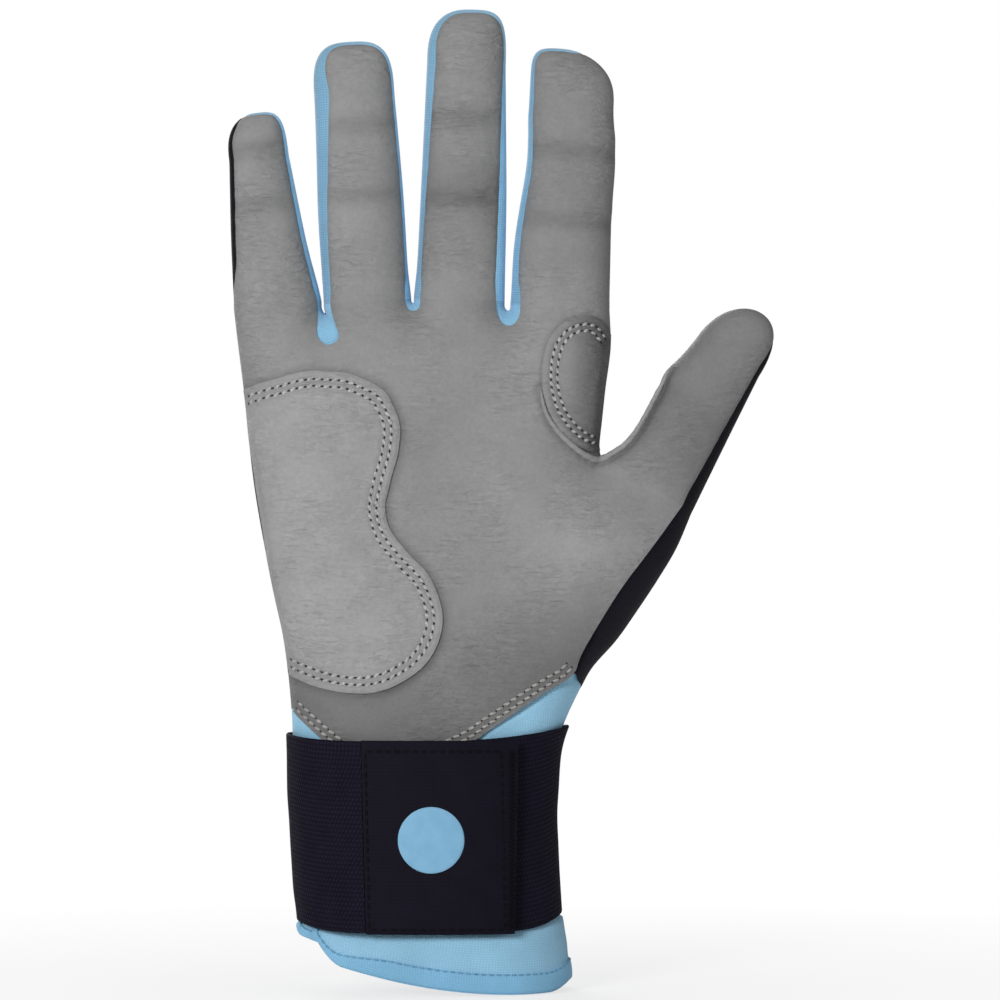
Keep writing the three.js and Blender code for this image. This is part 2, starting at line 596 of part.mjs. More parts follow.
// Dark side panel between the palm leather and the outer edge of the thumb base
const SIDE_PANEL_ROWS = 6;
const SIDE_PANEL_COLUMNS = 3;
{
  const grid = [];
  for (let i = 0; i <= SIDE_PANEL_ROWS; i++) {
    const inner = leatherSide[0].clone().lerp(leatherSide[1], i / SIDE_PANEL_ROWS);
    inner.addScaledVector(thumb.across, SIDE_PANEL_EASE);
    const height = lerp(PALM_CORNER_RADIAL, foldLine(1, 0)[0].y, i / SIDE_PANEL_ROWS);
    const outer = plan(xAtHeight(thenarEdge, height), height);
    const row = [];
    for (let j = 0; j <= SIDE_PANEL_COLUMNS; j++) {
      row.push(handPoint(inner.clone().lerp(outer, j / SIDE_PANEL_COLUMNS), -1, 0));
    }
    grid.push(row);
  }
  addMesh(glove, "thumb_side_panel", sheetPanel(grid, BACK_CLOTH), MATERIALS.navy);
}

// Webs in the finger crotches: from one finger's fold down round the closed end and up to the next fold
const LEG_STEPS = 2;
const ARC_STEPS = 6;
for (const { left, right, centre, a, b } of crotches) {
  const stations = [];
  const leftWidth = left.spec.rootWidth / 2;
  const rightWidth = right.spec.rootWidth / 2;
  const station = (edge, inward, width) => ({
    edge, spine: edge.clone().addScaledVector(inward, width), depth: ROOT_DEPTH, spineMiddle: 0, edgeMiddle: 0,
  });
  const legs = (end, digit, side, width) => {
    const foot = plan(centre.x + side * CROTCH_RADIUS, centre.y);
    const head = end.clone().addScaledVector(digit.along, -halfGap);
    if (head.y - foot.y < SEAM_GAP) return [];
    const places = [];
    for (let k = 0; k < LEG_STEPS; k++) {
      places.push(station(head.clone().lerp(foot, k / LEG_STEPS), plan(side, 0), width));
    }
    return places;
  };
  stations.push(...legs(a, left, -1, leftWidth));
  for (let k = 0; k <= ARC_STEPS; k++) {
    const angle = Math.PI * k / ARC_STEPS;
    const inward = plan(-Math.cos(angle), -Math.sin(angle));
    const edge = centre.clone().addScaledVector(inward, CROTCH_RADIUS);
    stations.push(station(edge, inward, lerp(leftWidth, rightWidth, k / ARC_STEPS)));
  }
  stations.push(...legs(b, right, 1, rightWidth).reverse());
  addMesh(glove, "web_" + left.spec.name + "_" + right.spec.name,
    wallPanel(stations, () => WALL_HALF_DEPTH - LEATHER, SIDE_CLOTH), MATERIALS.blue);
}

// Pads sewn on the palm

const PAD_ROWS = 16;
const PAD_COLUMNS = 6;
const heelPadEdge = new THREE.SplineCurve(HEEL_PAD_SHAPE.map(([height, x]) => plan(x, height)));

// A grid over the heel pad, drawn in from its outline and lifted off the palm
function heelPadGrid(inset, lift) {
  const grid = [];
  for (let i = 0; i <= PAD_ROWS; i++) {
    const height = lerp(HEEL_PAD_BOTTOM + inset, HEEL_PAD_TOP - inset, i / PAD_ROWS);
    const left = xAtHeight(ulnarEdge, height) + PAD_INSET + inset;
    const points = heelPadEdge.getPoints(60);
    const right = xAtHeight(points, height) - inset;
    const row = [];
    for (let j = 0; j <= PAD_COLUMNS; j++) {
      const at = plan(lerp(left, right, j / PAD_COLUMNS), height);
      const border = Math.min(j, PAD_COLUMNS - j, i / 2, (PAD_ROWS - i) / 2);
      row.push(handPoint(at, -1, lift(border)));
    }
    grid.push(row);
  }
  return grid;
}

const foamTop = SEAM_GAP + PAD_FOAM;
const padLift = (border) => lerp(PAD_RISE, foamTop + SEAM_GAP, smoothstep(border, 0, 1)) + LEATHER;
addMesh(glove, "heel_pad", sheetPanel(heelPadGrid(0, padLift), LEATHER), MATERIALS.leather);
addMesh(glove, "heel_pad_foam", sheetPanel(heelPadGrid(FOAM_INSET, () => foamTop), PAD_FOAM), MATERIALS.foam);

const PATCH_ROWS = 8;
const PATCH_COLUMNS = 4;
{
  const grid = [];
  const bottom = thumbInner.y + CROTCH_PATCH_RISE;
  for (let i = 0; i <= PATCH_ROWS; i++) {
    const height = bottom + CROTCH_PATCH_HEIGHT * i / PATCH_ROWS;
    const right = xAtHeight(radialEdge, height) - PAD_INSET;
    const round = Math.sqrt(Math.max(0, 1 - Math.pow(2 * i / PATCH_ROWS - 1, CROTCH_PATCH_SQUARENESS)));
    const left = right - lerp(CROTCH_PATCH_END, 1, round) * (CROTCH_PATCH_WIDTH - PAD_INSET);
    const row = [];
    for (let j = 0; j <= PATCH_COLUMNS; j++) {
      row.push(handPoint(plan(lerp(left, right, j / PATCH_COLUMNS), height), -1, PAD_RISE + LEATHER));
    }
    grid.push(row);
  }
  addMesh(glove, "crotch_patch", sheetPanel(grid, LEATHER), MATERIALS.leather);
}

// Cuff, in two parts that are sewn together on the thumb side and split on the little-finger side

const cuffGrow = -LEATHER - SEAM_GAP;
const squareWave = (value) => Math.sign(value) * Math.pow(Math.abs(value), 2 / ROUNDNESS);

// A place round the wrist: 0 degrees is the thumb side, 90 the back, 180 the little-finger side, 270 the palm
function wristPlan(degrees, height, grow) {
  const left = xAtHeight(ulnarEdge, height) - grow;
  const right = xAtHeight(thenarEdge, height) + grow;
  return plan(lerp(left, right, (1 + squareWave(Math.cos(degToRad(degrees)))) / 2), height);
}

function cuffPoint(degrees, height, grow) {
  const side = Math.sin(degToRad(degrees)) < 0 ? -1 : 1;
  return handPoint(wristPlan(degrees, height, grow), side, grow);
}

// Degrees on the palm side at which a band of the wrist's width, grown outwards, reaches a given x
function palmDegrees(x, grow) {
  const share = Math.max(-1, Math.min(1, x / (WRIST_HALF_WIDTH + grow)));
  const cosine = Math.sign(share) * Math.pow(Math.abs(share), ROUNDNESS / 2);
  return 360 - THREE.MathUtils.radToDeg(Math.acos(cosine));
}

function palmHem(x) {
  const share = (x - HEM_LOW_X) / (SLIT_X + HEM_LOW_X);
  const corner = Math.max(0, (HEM_CORNER - SLIT_X - x) / HEM_CORNER);
  return HEM_RISE * share * share + HEM_CORNER_RISE * corner * corner;
}

function backHem(x) {
  const share = THREE.MathUtils.clamp((WRIST_HALF_WIDTH - x) / (2 * WRIST_HALF_WIDTH), 0, 1);
  return lerp(BACK_HEM_RADIAL, BACK_HEM_ULNAR, share);
}

// A grid over a part of the cuff, from its hem up. spanAt gives its two ends, in degrees, at a share of
// the height.
function cuffGrid(spanAt, columns, hem, heightAt, rows, grow) {
  const grid = [];
  for (let i = 0; i <= rows; i++) {
    const [from, to] = spanAt(i / rows);
    const row = [];
    for (let j = 0; j <= columns; j++) {
      const degrees = lerp(from, to, j / columns);
      const low = hem(squareWave(Math.cos(degToRad(degrees))) * WRIST_HALF_WIDTH);
      row.push(cuffPoint(degrees, low + heightAt(low) * i / rows, grow));
    }
    grid.push(row);
  }
  return grid;
}

// The inner face of a wrist piece is the same grid, drawn at a smaller size.
function wristPanel(gridAt, grow, thickness) {
  return panelGeometry(gridAt(grow), gridAt(grow - thickness));
}

const slitDegrees = palmDegrees(-SLIT_X, cuffGrow);
const seamDegrees = THREE.MathUtils.radToDeg(halfGap / WRIST_HALF_WIDTH) + 1;
const slitGap = THREE.MathUtils.radToDeg(SEAM_GAP / WRIST_HALF_DEPTH);
const bindingGrow = cuffGrow + SEAM_GAP + BINDING_CLOTH;
const backTop = BACK_BOTTOM - SEAM_GAP;

// Where the slit is at a height: at its hem place low down, running back to the side of the wrist
const slitAt = (height) => lerp(slitDegrees, 180 + seamDegrees, smoothstep(height, SLIT_START, backTop));
const palmSpan = (height) => [slitAt(height), 360 - seamDegrees];
const backSpan = (height) => [seamDegrees, slitAt(height) - slitGap];
const cuffParts = [
  { side: "palm", span: palmSpan, columns: 12, hem: palmHem, top: CUFF_TOP },
  { side: "back", span: backSpan, columns: 18, hem: backHem, top: backTop },
];
const CUFF_ROWS = 8;
for (const { side, span, columns, hem, top } of cuffParts) {
  const cuffAt = (grow) =>
    cuffGrid((share) => span(share * top), columns, hem, (low) => top - low, CUFF_ROWS, grow);
  addMesh(glove, "cuff_" + side, wristPanel(cuffAt, cuffGrow, CUFF_CLOTH), MATERIALS.blue);
  const hemAt = (grow) => cuffGrid(() => span(0), columns, hem, () => BINDING_HEIGHT, 1, grow);
  addMesh(glove, "hem_" + side, wristPanel(hemAt, bindingGrow, BINDING_CLOTH), MATERIALS.darkBlue);
}

// Strap: it starts under the tab, runs round the thumb side, the back and the little-finger side, and
// climbs over its own start, where the tab carries on

function strapPoint(degrees, share, grow) {
  const angle = degToRad(degrees);
  const y = squareWave(Math.sin(angle)) * (WRIST_HALF_DEPTH + grow);
  const sideways = squareWave(Math.cos(angle));
  const low = STRAP_LOW + STRAP_SAG * sideways * sideways + STRAP_TILT * sideways;
  return solidPoint(wristPlan(degrees, low + share * STRAP_HEIGHT, grow), y);
}

const BAND_ROWS = 4;

function evenSteps(from, to, steps) {
  const values = [];
  for (let j = 0; j <= steps; j++) values.push(lerp(from, to, j / steps));
  return values;
}

function bandPanel(columns, growAt, thickness, lowShare, highShare) {
  const shares = evenSteps(lowShare, highShare, BAND_ROWS);
  const grids = [0, thickness].map((inset) => shares.map((share) =>
    columns.map((degrees) => strapPoint(degrees, share, growAt(degrees) - inset))));
  return panelGeometry(grids[0], grids[1]);
}

const strapOuter = SEAM_GAP + STRAP_WEB;
const loopOuter = strapOuter + SEAM_GAP + HOOK_AND_LOOP;
const hookOuter = loopOuter + SEAM_GAP + HOOK_AND_LOOP;
const tabOuter = hookOuter + SEAM_GAP + STRAP_WEB;
const tabStart = palmDegrees(-TAB_START_X, tabOuter);
const tabEnd = palmDegrees(TAB_LENGTH - TAB_START_X, tabOuter);
const patchStart = palmDegrees(PATCH_START - TAB_START_X, hookOuter);
const patchEnd = palmDegrees(PATCH_START + PATCH_LENGTH - TAB_START_X, hookOuter);
const tabGap = THREE.MathUtils.radToDeg(SEAM_GAP / WRIST_HALF_DEPTH);
const underTab = patchStart - tabGap;
const marginShare = PATCH_MARGIN / STRAP_HEIGHT;
const strapEnd = tabStart - tabGap;
const STRAP_COLUMNS = 14;          // on each side of the flat back
const REST_HALF_ANGLE = 10;        // the strap's flat face on the back of the wrist
const CLIMB_START = 195;           // degrees from which the strap climbs to the tab

const strapColumns = evenSteps(underTab - 360, 90 - REST_HALF_ANGLE, STRAP_COLUMNS)
  .concat(evenSteps(90 + REST_HALF_ANGLE, strapEnd, STRAP_COLUMNS));
const strapGrow = (degrees) => lerp(strapOuter, tabOuter, smoothstep(degrees, CLIMB_START, strapEnd));
addMesh(glove, "wrist_strap", bandPanel(strapColumns, strapGrow, STRAP_WEB, 0, 1), MATERIALS.web);

const TAB_COLUMNS = 10;
const HOOK_COLUMNS = 8;
const tabColumns = evenSteps(tabStart, tabEnd, TAB_COLUMNS);
const patchColumns = evenSteps(patchStart, patchEnd, HOOK_COLUMNS);
addMesh(glove, "loop_patch",
  bandPanel(patchColumns, () => loopOuter, HOOK_AND_LOOP, marginShare, 1 - marginShare), MATERIALS.web);
const tab = addBody(glove, "strap_tab_body", strapPoint(tabStart, 0.5, tabOuter));
addMesh(tab, "strap_tab", bandPanel(tabColumns, () => tabOuter, STRAP_WEB, 0, 1), MATERIALS.navy);
addMesh(tab, "hook_patch",
  bandPanel(patchColumns, () => hookOuter, HOOK_AND_LOOP, marginShare, 1 - marginShare), MATERIALS.web);

export default glove;
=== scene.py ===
# %% [markdown]
# # A batting glove for the right hand
#
# The CAD frame gives every panel of this glove as a thin solid, with a joint at each knuckle, at each finger
# fold and at the closing tab. This lesson dresses that frame. The glove is sewn from soft sheets, so most
# pieces are surfaces worked out from one hand shape, then given a thickness, a seam and a cloth or leather.
#
# Lengths in this file are millimetres until a mesh is made, because patterns for sewing are drawn in
# millimetres. The hand stands on its cuff: fingers up, palm towards the camera, thumb to the right.

import math
from types import SimpleNamespace

import bpy
import numpy as np
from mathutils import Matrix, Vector
from mathutils.geometry import delaunay_2d_cdt


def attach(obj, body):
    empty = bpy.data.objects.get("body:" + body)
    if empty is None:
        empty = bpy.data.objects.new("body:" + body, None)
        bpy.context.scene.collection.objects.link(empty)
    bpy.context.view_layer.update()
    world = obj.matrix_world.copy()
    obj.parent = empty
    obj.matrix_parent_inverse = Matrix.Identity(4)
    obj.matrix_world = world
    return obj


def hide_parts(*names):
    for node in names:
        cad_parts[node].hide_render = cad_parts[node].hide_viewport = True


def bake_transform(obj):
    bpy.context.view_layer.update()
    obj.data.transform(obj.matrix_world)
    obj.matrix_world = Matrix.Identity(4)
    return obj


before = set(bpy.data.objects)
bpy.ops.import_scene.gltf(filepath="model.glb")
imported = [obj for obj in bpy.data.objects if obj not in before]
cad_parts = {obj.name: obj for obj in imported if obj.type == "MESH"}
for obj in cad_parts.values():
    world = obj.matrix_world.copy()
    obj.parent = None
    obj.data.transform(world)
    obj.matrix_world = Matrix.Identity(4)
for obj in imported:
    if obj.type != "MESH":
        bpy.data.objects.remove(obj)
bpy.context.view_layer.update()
MM = 0.001

# %% [markdown]
# ## Colours and a way to write materials
#
# Colours are picked as sRGB hex values, as on a paint card, and one function turns them to the linear values
# that shaders mix. A second one adds a node, sets it up and links it. The small ones after it name what a
# node is for, so that a material reads from top to bottom like a recipe.

# %% Colour and node helpers
def linear(hex_colour):
    channels = [int(hex_colour[i:i + 2], 16) / 255 for i in (1, 3, 5)]
    mixed = [c / 12.92 if c <= 0.04045 else ((c + 0.055) / 1.055) ** 2.4 for c in channels]
    return (*mixed, 1.0)


def set_inputs(tree, node, values):
    """Sets a node's inputs, by name or by place such as i0. A socket is linked, a plain value is set."""
    for key, value in values.items():
        by_place = key[0] == "i" and key[1:].isdigit()
        socket = node.inputs[int(key[1:])] if by_place else node.inputs[key]
        if isinstance(value, bpy.types.NodeSocket):
            tree.links.new(value, socket)
        else:
            socket.default_value = value


def add(tree, kind, settings=None, **inputs):
    """Adds a node with its own settings and its inputs."""
    made = tree.nodes.new(kind)
    for key, value in (settings or {}).items():
        setattr(made, key, value)
    set_inputs(tree, made, inputs)
    return made


def start_material(name):
    material = bpy.data.materials.new(name)
    material.use_nodes = True
    tree = material.node_tree
    return material, tree, tree.nodes["Principled BSDF"]


def per_mm(size):
    """Texture scale at which one cell of a pattern is this many millimetres, on coordinates in metres."""
    return 1000.0 / size


def noise(tree, place, size, detail, **more):
    """Noise with lumps of about this many millimetres."""
    inputs = {"Vector": place, "Scale": per_mm(size), "Detail": detail, **more}
    return add(tree, "ShaderNodeTexNoise", **inputs).outputs["Fac"]


def waves(tree, cloth, way, size, distortion, detail):
    """Bands this many millimetres apart, on the X or Y way of a UV map in metres."""
    bands = {"wave_type": "BANDS", "bands_direction": way}
    return add(tree, "ShaderNodeTexWave", bands, Vector=cloth, Scale=math.tau / (20 * size * MM),
               Distortion=distortion, Detail=detail).outputs["Fac"]


def spread(tree, value, low, high, to_low, to_high):
    """Maps values between low and high to a new range, and keeps them in it."""
    return add(tree, "ShaderNodeMapRange", Value=value, i1=low, i2=high, i3=to_low, i4=to_high).outputs[0]


def times(tree, a, b):
    return add(tree, "ShaderNodeMath", {"operation": "MULTIPLY"}, i0=a, i1=b).outputs[0]


def tint(tree, colour, share):
    return add(tree, "ShaderNodeVectorMath", {"operation": "SCALE"}, i0=colour, Scale=share).outputs[0]


def mix(tree, share, first, second):
    colours = {"i6": linear(first), "i7": linear(second)}
    return add(tree, "ShaderNodeMix", {"data_type": "RGBA"}, i0=share, **colours).outputs[2]


def bump(tree, height, strength, depth, **more):
    """Relief of this depth in millimetres."""
    inputs = {"Height": height, "Strength": strength, "Distance": depth * MM, **more}
    return add(tree, "ShaderNodeBump", **inputs).outputs[0]


def place_of(tree):
    """The place on the object, in metres."""
    return add(tree, "ShaderNodeTexCoord").outputs["Object"]


def cloth_of(tree):
    """The piece's own UV map, laid along its threads."""
    return add(tree, "ShaderNodeUVMap", {"uv_map": "cloth"}).outputs["UV"]


def tone_of(tree):
    """The piece's painted light and shade, with some slow random change, kept at each point of its mesh."""
    return add(tree, "ShaderNodeAttribute", {"attribute_name": "tone"}).outputs["Fac"]


# %% [markdown]
# ## Leather
#
# Batting gloves have a palm of thin tanned goatskin or sheepskin, matt and pebbled. The large tone comes from
# a "tone" attribute that each leather piece carries: painted shade in its creases, in hollows and on sides
# turned from the light, and painted light on the ball of the thumb and on raised edges. The mottling comes
# from noise a few millimetres wide, and the grain from cells under a millimetre. The short level creases of
# worn leather are a noise squeezed along the hand's length; it also darkens the colour in their hollows and
# lightens it on their ridges, as painted shade and light.

# %% Leather material
leather, tree, shader = start_material("soft_goatskin_grey")
place = place_of(tree)
mottled = noise(tree, place, 2.4, 7.0, Roughness=0.68)
CREASE_SCALE = (per_mm(3.4), per_mm(3.4), per_mm(1.0))
squeezed = add(tree, "ShaderNodeMapping", Vector=place, Scale=CREASE_SCALE).outputs[0]
level = add(tree, "ShaderNodeTexNoise", Vector=squeezed, Scale=1.0, Detail=2.5, Roughness=0.55,
            Distortion=0.7).outputs["Fac"]
centred = add(tree, "ShaderNodeMath", {"operation": "SUBTRACT"}, i0=level, i1=0.5).outputs[0]
creased = spread(tree, noise(tree, place, 16, 1.0), 0.38, 0.58, 0.15, 1.0)
ridges = times(tree, centred, creased)
tinted = tone_of(tree)
# The crease noise tints the colour too, darker in its hollows and lighter on its ridges: painted shade and
# light over that relief.
for pattern, low, high, dark, light in ((noise(tree, place, 17, 3.0), 0.3, 0.7, 0.93, 1.06),
                                        (mottled, 0.25, 0.75, 0.93, 1.07),
                                        (ridges, -0.2, 0.2, 0.9, 1.1),
                                        (noise(tree, place, 0.9, 3.0), 0.3, 0.7, 0.95, 1.05)):
    tinted = times(tree, tinted, spread(tree, pattern, low, high, dark, light))
grain = add(tree, "ShaderNodeTexVoronoi", Vector=place, Scale=per_mm(0.85)).outputs["Distance"]
pebbled = bump(tree, grain, 0.35, 0.12)
pitted = bump(tree, mottled, 0.4, 0.3, Normal=pebbled)
set_inputs(tree, shader, {
    "Base Color": tint(tree, linear("#8f8f8f")[:3], tinted),
    "Roughness": spread(tree, mottled, 0.3, 0.7, 0.56, 0.74),
    "Specular IOR Level": 0.35,
    "Normal": bump(tree, ridges, 0.9, 0.8, Normal=pitted),
})
print("leather nodes:", len(tree.nodes))

# %% [markdown]
# ## Cloths
#
# The finger sides and the cuff are a light-blue knitted stretch cloth, the back of the hand is a dark navy
# one. A knit shows as fine ribs along the cloth with stitches across them. Both read the piece's own UV map,
# which is in millimetres along and across the panel, so the ribs follow every finger. Real ribs are about
# half a millimetre apart. They are drawn at 0.8 mm here, because finer ones would not show.

# %% Knitted cloths
def knit_material(name, colour, dark, rib, roughness, shine, sheen):
    material, tree, shader = start_material(name)
    place = place_of(tree)
    cloth = cloth_of(tree)
    ribs = waves(tree, cloth, "Y", rib, 0.6, 1.0)
    loops = waves(tree, cloth, "X", rib * 0.8, 0.8, 1.0)
    stitches = times(tree, ribs, loops)
    worn = spread(tree, noise(tree, place, 15, 4.0), 0.3, 0.7, 0.9, 1.08)
    yarn = mix(tree, spread(tree, stitches, 0.0, 0.8, 0.0, 1.0), dark, colour)
    fuzzy = bump(tree, noise(tree, place, 0.9, 4.0), 0.3, 0.15)
    set_inputs(tree, shader, {
        "Base Color": tint(tree, yarn, times(tree, worn, tone_of(tree))),
        "Roughness": roughness,
        "Specular IOR Level": shine,
        "Sheen Weight": sheen,
        "Sheen Roughness": 0.5,
        "Normal": bump(tree, stitches, 0.4, 0.25, Normal=fuzzy),
    })
    return material


blue_knit = knit_material("stretch_knit_light_blue", "#8dbcd8", "#78a9c8", 0.8, 0.85, 0.15, 0.4)
cuff_knit = knit_material("cuff_knit_light_blue", "#a1d1ed", "#91c2de", 0.8, 0.85, 0.15, 0.15)
binding_knit = knit_material("hem_tape_light_blue", "#93c8ea", "#80b8da", 0.7, 0.8, 0.15, 0.15)
navy_knit = knit_material("stretch_knit_navy", "#191722", "#0f0e19", 0.8, 0.75, 0.08, 0.06)
print("cloths:", [m.name for m in (blue_knit, cuff_knit, binding_knit, navy_knit)])

# %% [markdown]
# The strap is a woven elastic: rubber cores run along it and the yarns cross them in a twill, so it shows
# fine diagonal lines. The closing tab is a coated cloth, nearly smooth. Both are almost black, so their
# pattern is mostly bump and a change of gloss.

# %% Strap materials
def dark_band_material(name, colour, light, twill, angle, strength, roughness):
    material, tree, shader = start_material(name)
    cloth = cloth_of(tree)
    turned = add(tree, "ShaderNodeMapping", Vector=cloth, Rotation=(0, 0, math.radians(angle))).outputs[0]
    yarns = waves(tree, turned, "X", twill, 0.5, 2.0)
    cores = waves(tree, cloth, "Y", twill * 1.3, 0.3, 2.0)
    woven = times(tree, yarns, cores)
    lint = spread(tree, noise(tree, place_of(tree), 6, 5.0), 0.3, 0.7, 0.85, 1.15)
    set_inputs(tree, shader, {
        "Base Color": tint(tree, mix(tree, woven, colour, light), lint),
        "Roughness": spread(tree, woven, 0.0, 1.0, roughness, roughness - 0.12),
        "Specular IOR Level": 0.12,
        "Normal": bump(tree, woven, strength, 0.3),
    })
    return material


elastic = dark_band_material("woven_elastic_navy", "#100e1b", "#1f1c2e", 0.9, 32, 0.6, 0.85)
tab_cloth = dark_band_material("coated_cloth_navy", "#0e0b18", "#120f1d", 0.7, 0, 0.18, 0.75)
hook_nylon = dark_band_material("hook_and_loop_nylon_black", "#0f0f14", "#2a2a33", 1.1, 45, 1.0, 0.7)

# %% [markdown]
# Thread, foam and the plain rubber mark are small, so each has one noise for colour and one for relief.

# %% Small materials
def speckled_material(name, colour, dark, size, roughness, strength):
    material, tree, shader = start_material(name)
    specks = noise(tree, place_of(tree), size, 4.0)
    set_inputs(tree, shader, {
        "Base Color": mix(tree, spread(tree, specks, 0.35, 0.65, 0.0, 1.0), dark, colour),
        "Roughness": roughness,
        "Specular IOR Level": 0.15,
        "Normal": bump(tree, specks, strength, 0.2),
    })
    return material


grey_thread = speckled_material("bonded_thread_grey", "#c6c6c6", "#969696", 0.5, 0.6, 0.5)
pale_thread = speckled_material("bonded_thread_pale", "#b8b7b4", "#8d8c8a", 0.5, 0.6, 0.5)
# Needle holes are small dark beads: painted shade in the holes.
hole_shade = speckled_material("needle_hole_dark", "#3c3c3c", "#2a2a2a", 0.6, 0.9, 0.3)
navy_thread = speckled_material("bonded_thread_navy", "#08070c", "#040408", 0.5, 0.8, 0.5)
blue_thread = speckled_material("bonded_thread_blue", "#7fb0cf", "#5f93b5", 0.5, 0.6, 0.5)
pad_foam = speckled_material("closed_cell_foam", "#d8d4c8", "#b9b4a6", 0.8, 0.95, 0.6)
rubber_mark = speckled_material("printed_rubber_blue", "#86b9d9", "#7fb2d3", 3.0, 0.55, 0.15)
print("materials:", len(bpy.data.materials))

# %% [markdown]
# ## The shape of the hand
#
# A finger in a glove is a rounded box: its cross-section is an oval a little squarer than an ellipse. The
# same rule gives the palm, where the distance to the outline takes the place of the half width. Working
# every panel out from these few functions keeps neighbours in contact, which is hard to do when each panel
# is pushed into shape by itself.

# %% Basic curves
ROUNDNESS = 2.4


def lerp(a, b, share):
    return a + (b - a) * share


def smooth(value, start, end):
    share = np.clip((np.asarray(value, float) - start) / (end - start), 0, 1)
    return share * share * (3 - 2 * share)


def bulge(share):
    return np.maximum(0, 1 - np.minimum(1, np.abs(share)) ** ROUNDNESS) ** (1 / ROUNDNESS)


def hump(away, reach):
    """A rounded bump: 1 in its middle, and nearly 0 from twice its reach."""
    return np.exp(-(away / reach) ** 2)


def soft_noise(x, z, size, seed):
    """Smooth noise from -1 to 1 with lumps of this size, the same on each run."""
    table = np.random.RandomState(seed).uniform(-1, 1, (64, 64))
    u = np.asarray(x, float) / size
    v = np.asarray(z, float) / size
    i = np.floor(u).astype(int)
    j = np.floor(v).astype(int)
    a = smooth(u - i, 0, 1)
    b = smooth(v - j, 0, 1)
    corner = lambda di, dj: table[(i + di) % 64, (j + dj) % 64]
    return lerp(lerp(corner(0, 0), corner(1, 0), a), lerp(corner(0, 1), corner(1, 1), a), b)


def rounded_line(points, step):
    """A smooth line through these points, with a point about every step."""
    points = np.asarray(points, float)
    padded = np.vstack([2 * points[0] - points[1], points, 2 * points[-1] - points[-2]])
    made = []
    for k in range(len(points) - 1):
        a, b, c, d = padded[k:k + 4]
        count = max(2, int(np.linalg.norm(c - b) / step))
        t = np.linspace(0, 1, count, endpoint=False)[:, None]
        made.append(0.5 * (2 * b + (c - a) * t + (2 * a - 5 * b + 4 * c - d) * t ** 2
                           + (3 * b - a - 3 * c + d) * t ** 3))
    return np.vstack(made + [points[-1:]])


def even_line(points, step):
    """The same line with its points an even step apart."""
    points = np.asarray(points, float)
    lengths = np.concatenate([[0], np.cumsum(np.linalg.norm(np.diff(points, axis=0), axis=1))])
    count = max(2, int(round(lengths[-1] / step)) + 1)
    at = np.linspace(0, lengths[-1], count)
    return np.stack([np.interp(at, lengths, points[:, k]) for k in range(points.shape[1])], axis=1)


# %% [markdown]
# ## Fingers and thumb
#
# Each digit has a spine, a taper, a lean and a rounded tip. `front` and `back` give the width of the coloured
# side that shows beyond the leather and beyond the back: at the root and the tip on its left, at the root and
# the tip on its right, and over the top. `splay` widens that side next to the crotch, left and right.
# `bends` are swells of the outline: side, place, reach and amount. `creases` are places up the finger where
# the leather has folded. A band of painted shade on the leather is given by its place, reach and amount, and
# `shade` is painted shade over the whole leather of the finger.

# %% Digits
ROOT_DEPTH = 11.0
FINGER_CURL = 5.0
CROTCH_RADIUS = 0.8
PLAIN_BACK = (1.5, 1.9, 1.5, 1.9, 1.4)


def make_digit(name, centre, length, cap, lean, **shape):
    """A digit with the usual shape of a finger, changed where the shape says so."""
    angle = math.radians(lean)
    digit = SimpleNamespace(name=name, centre=np.array(centre), shaft=length - cap, cap=cap,
                            root_depth=ROOT_DEPTH, curl=FINGER_CURL, back=PLAIN_BACK, creased=1.3, shade=1.0,
                            bow=0.0, bends=(), splay=(0.0, 0.0), dusk=(0.0, 9.0, 0.0))
    vars(digit).update(shape)
    digit.along = np.array([math.sin(angle), math.cos(angle)])
    digit.across = np.array([math.cos(angle), -math.sin(angle)])
    return digit


def shaft_stations(digit, distances, side):
    """Places on the outline beside the spine: side -1 is left, 1 is right."""
    distances = np.asarray(distances, float)
    rise = distances / digit.shaft
    half = lerp(digit.root_width, digit.tip_width, rise) / 2
    for bent_side, place, reach, amount in digit.bends:
        if bent_side == side:
            half = half + amount * hump(rise - place, reach) * (1 - smooth(rise, 0.85, 1))
    if side < 0:
        half = half - digit.bow * rise * (1 - rise) ** 4 * 12.2
    spine = digit.centre + distances[:, None] * digit.along
    middle = -digit.curl * rise ** 2
    return SimpleNamespace(spine=spine, edge=spine + side * half[:, None] * digit.across, width=half,
                           rise=rise, depth=lerp(digit.root_depth, digit.tip_depth, rise),
                           spine_middle=middle, edge_middle=middle,
                           turn=np.full(len(rise), 90.0 - 90.0 * side))


def cap_stations(digit, degrees):
    """Places round the tip, from 180 degrees on the left to 0 on the right."""
    angle = np.radians(degrees)
    squared = lambda value: np.sign(value) * np.abs(value) ** (2 / digit.squareness)
    sideways = squared(np.cos(angle)) * digit.tip_width / 2 + digit.skew * np.sin(angle) ** 2
    forward = np.abs(np.sin(angle)) ** (2 / digit.squareness) * digit.cap
    centre = digit.centre + digit.shaft * digit.along
    edge = centre + sideways[:, None] * digit.across + forward[:, None] * digit.along
    ones = np.ones(len(angle))
    return SimpleNamespace(spine=np.repeat(centre[None], len(angle), 0), edge=edge, rise=ones,
                           width=np.linalg.norm(edge - centre, axis=1), depth=digit.tip_depth * ones,
                           spine_middle=-digit.curl * ones,
                           edge_middle=-digit.curl - 2 * digit.curl / digit.shaft * forward,
                           turn=np.asarray(degrees, float))


def join_stations(*parts):
    fields = vars(parts[0])
    return SimpleNamespace(**{key: np.concatenate([getattr(p, key) for p in parts]) for key in fields})


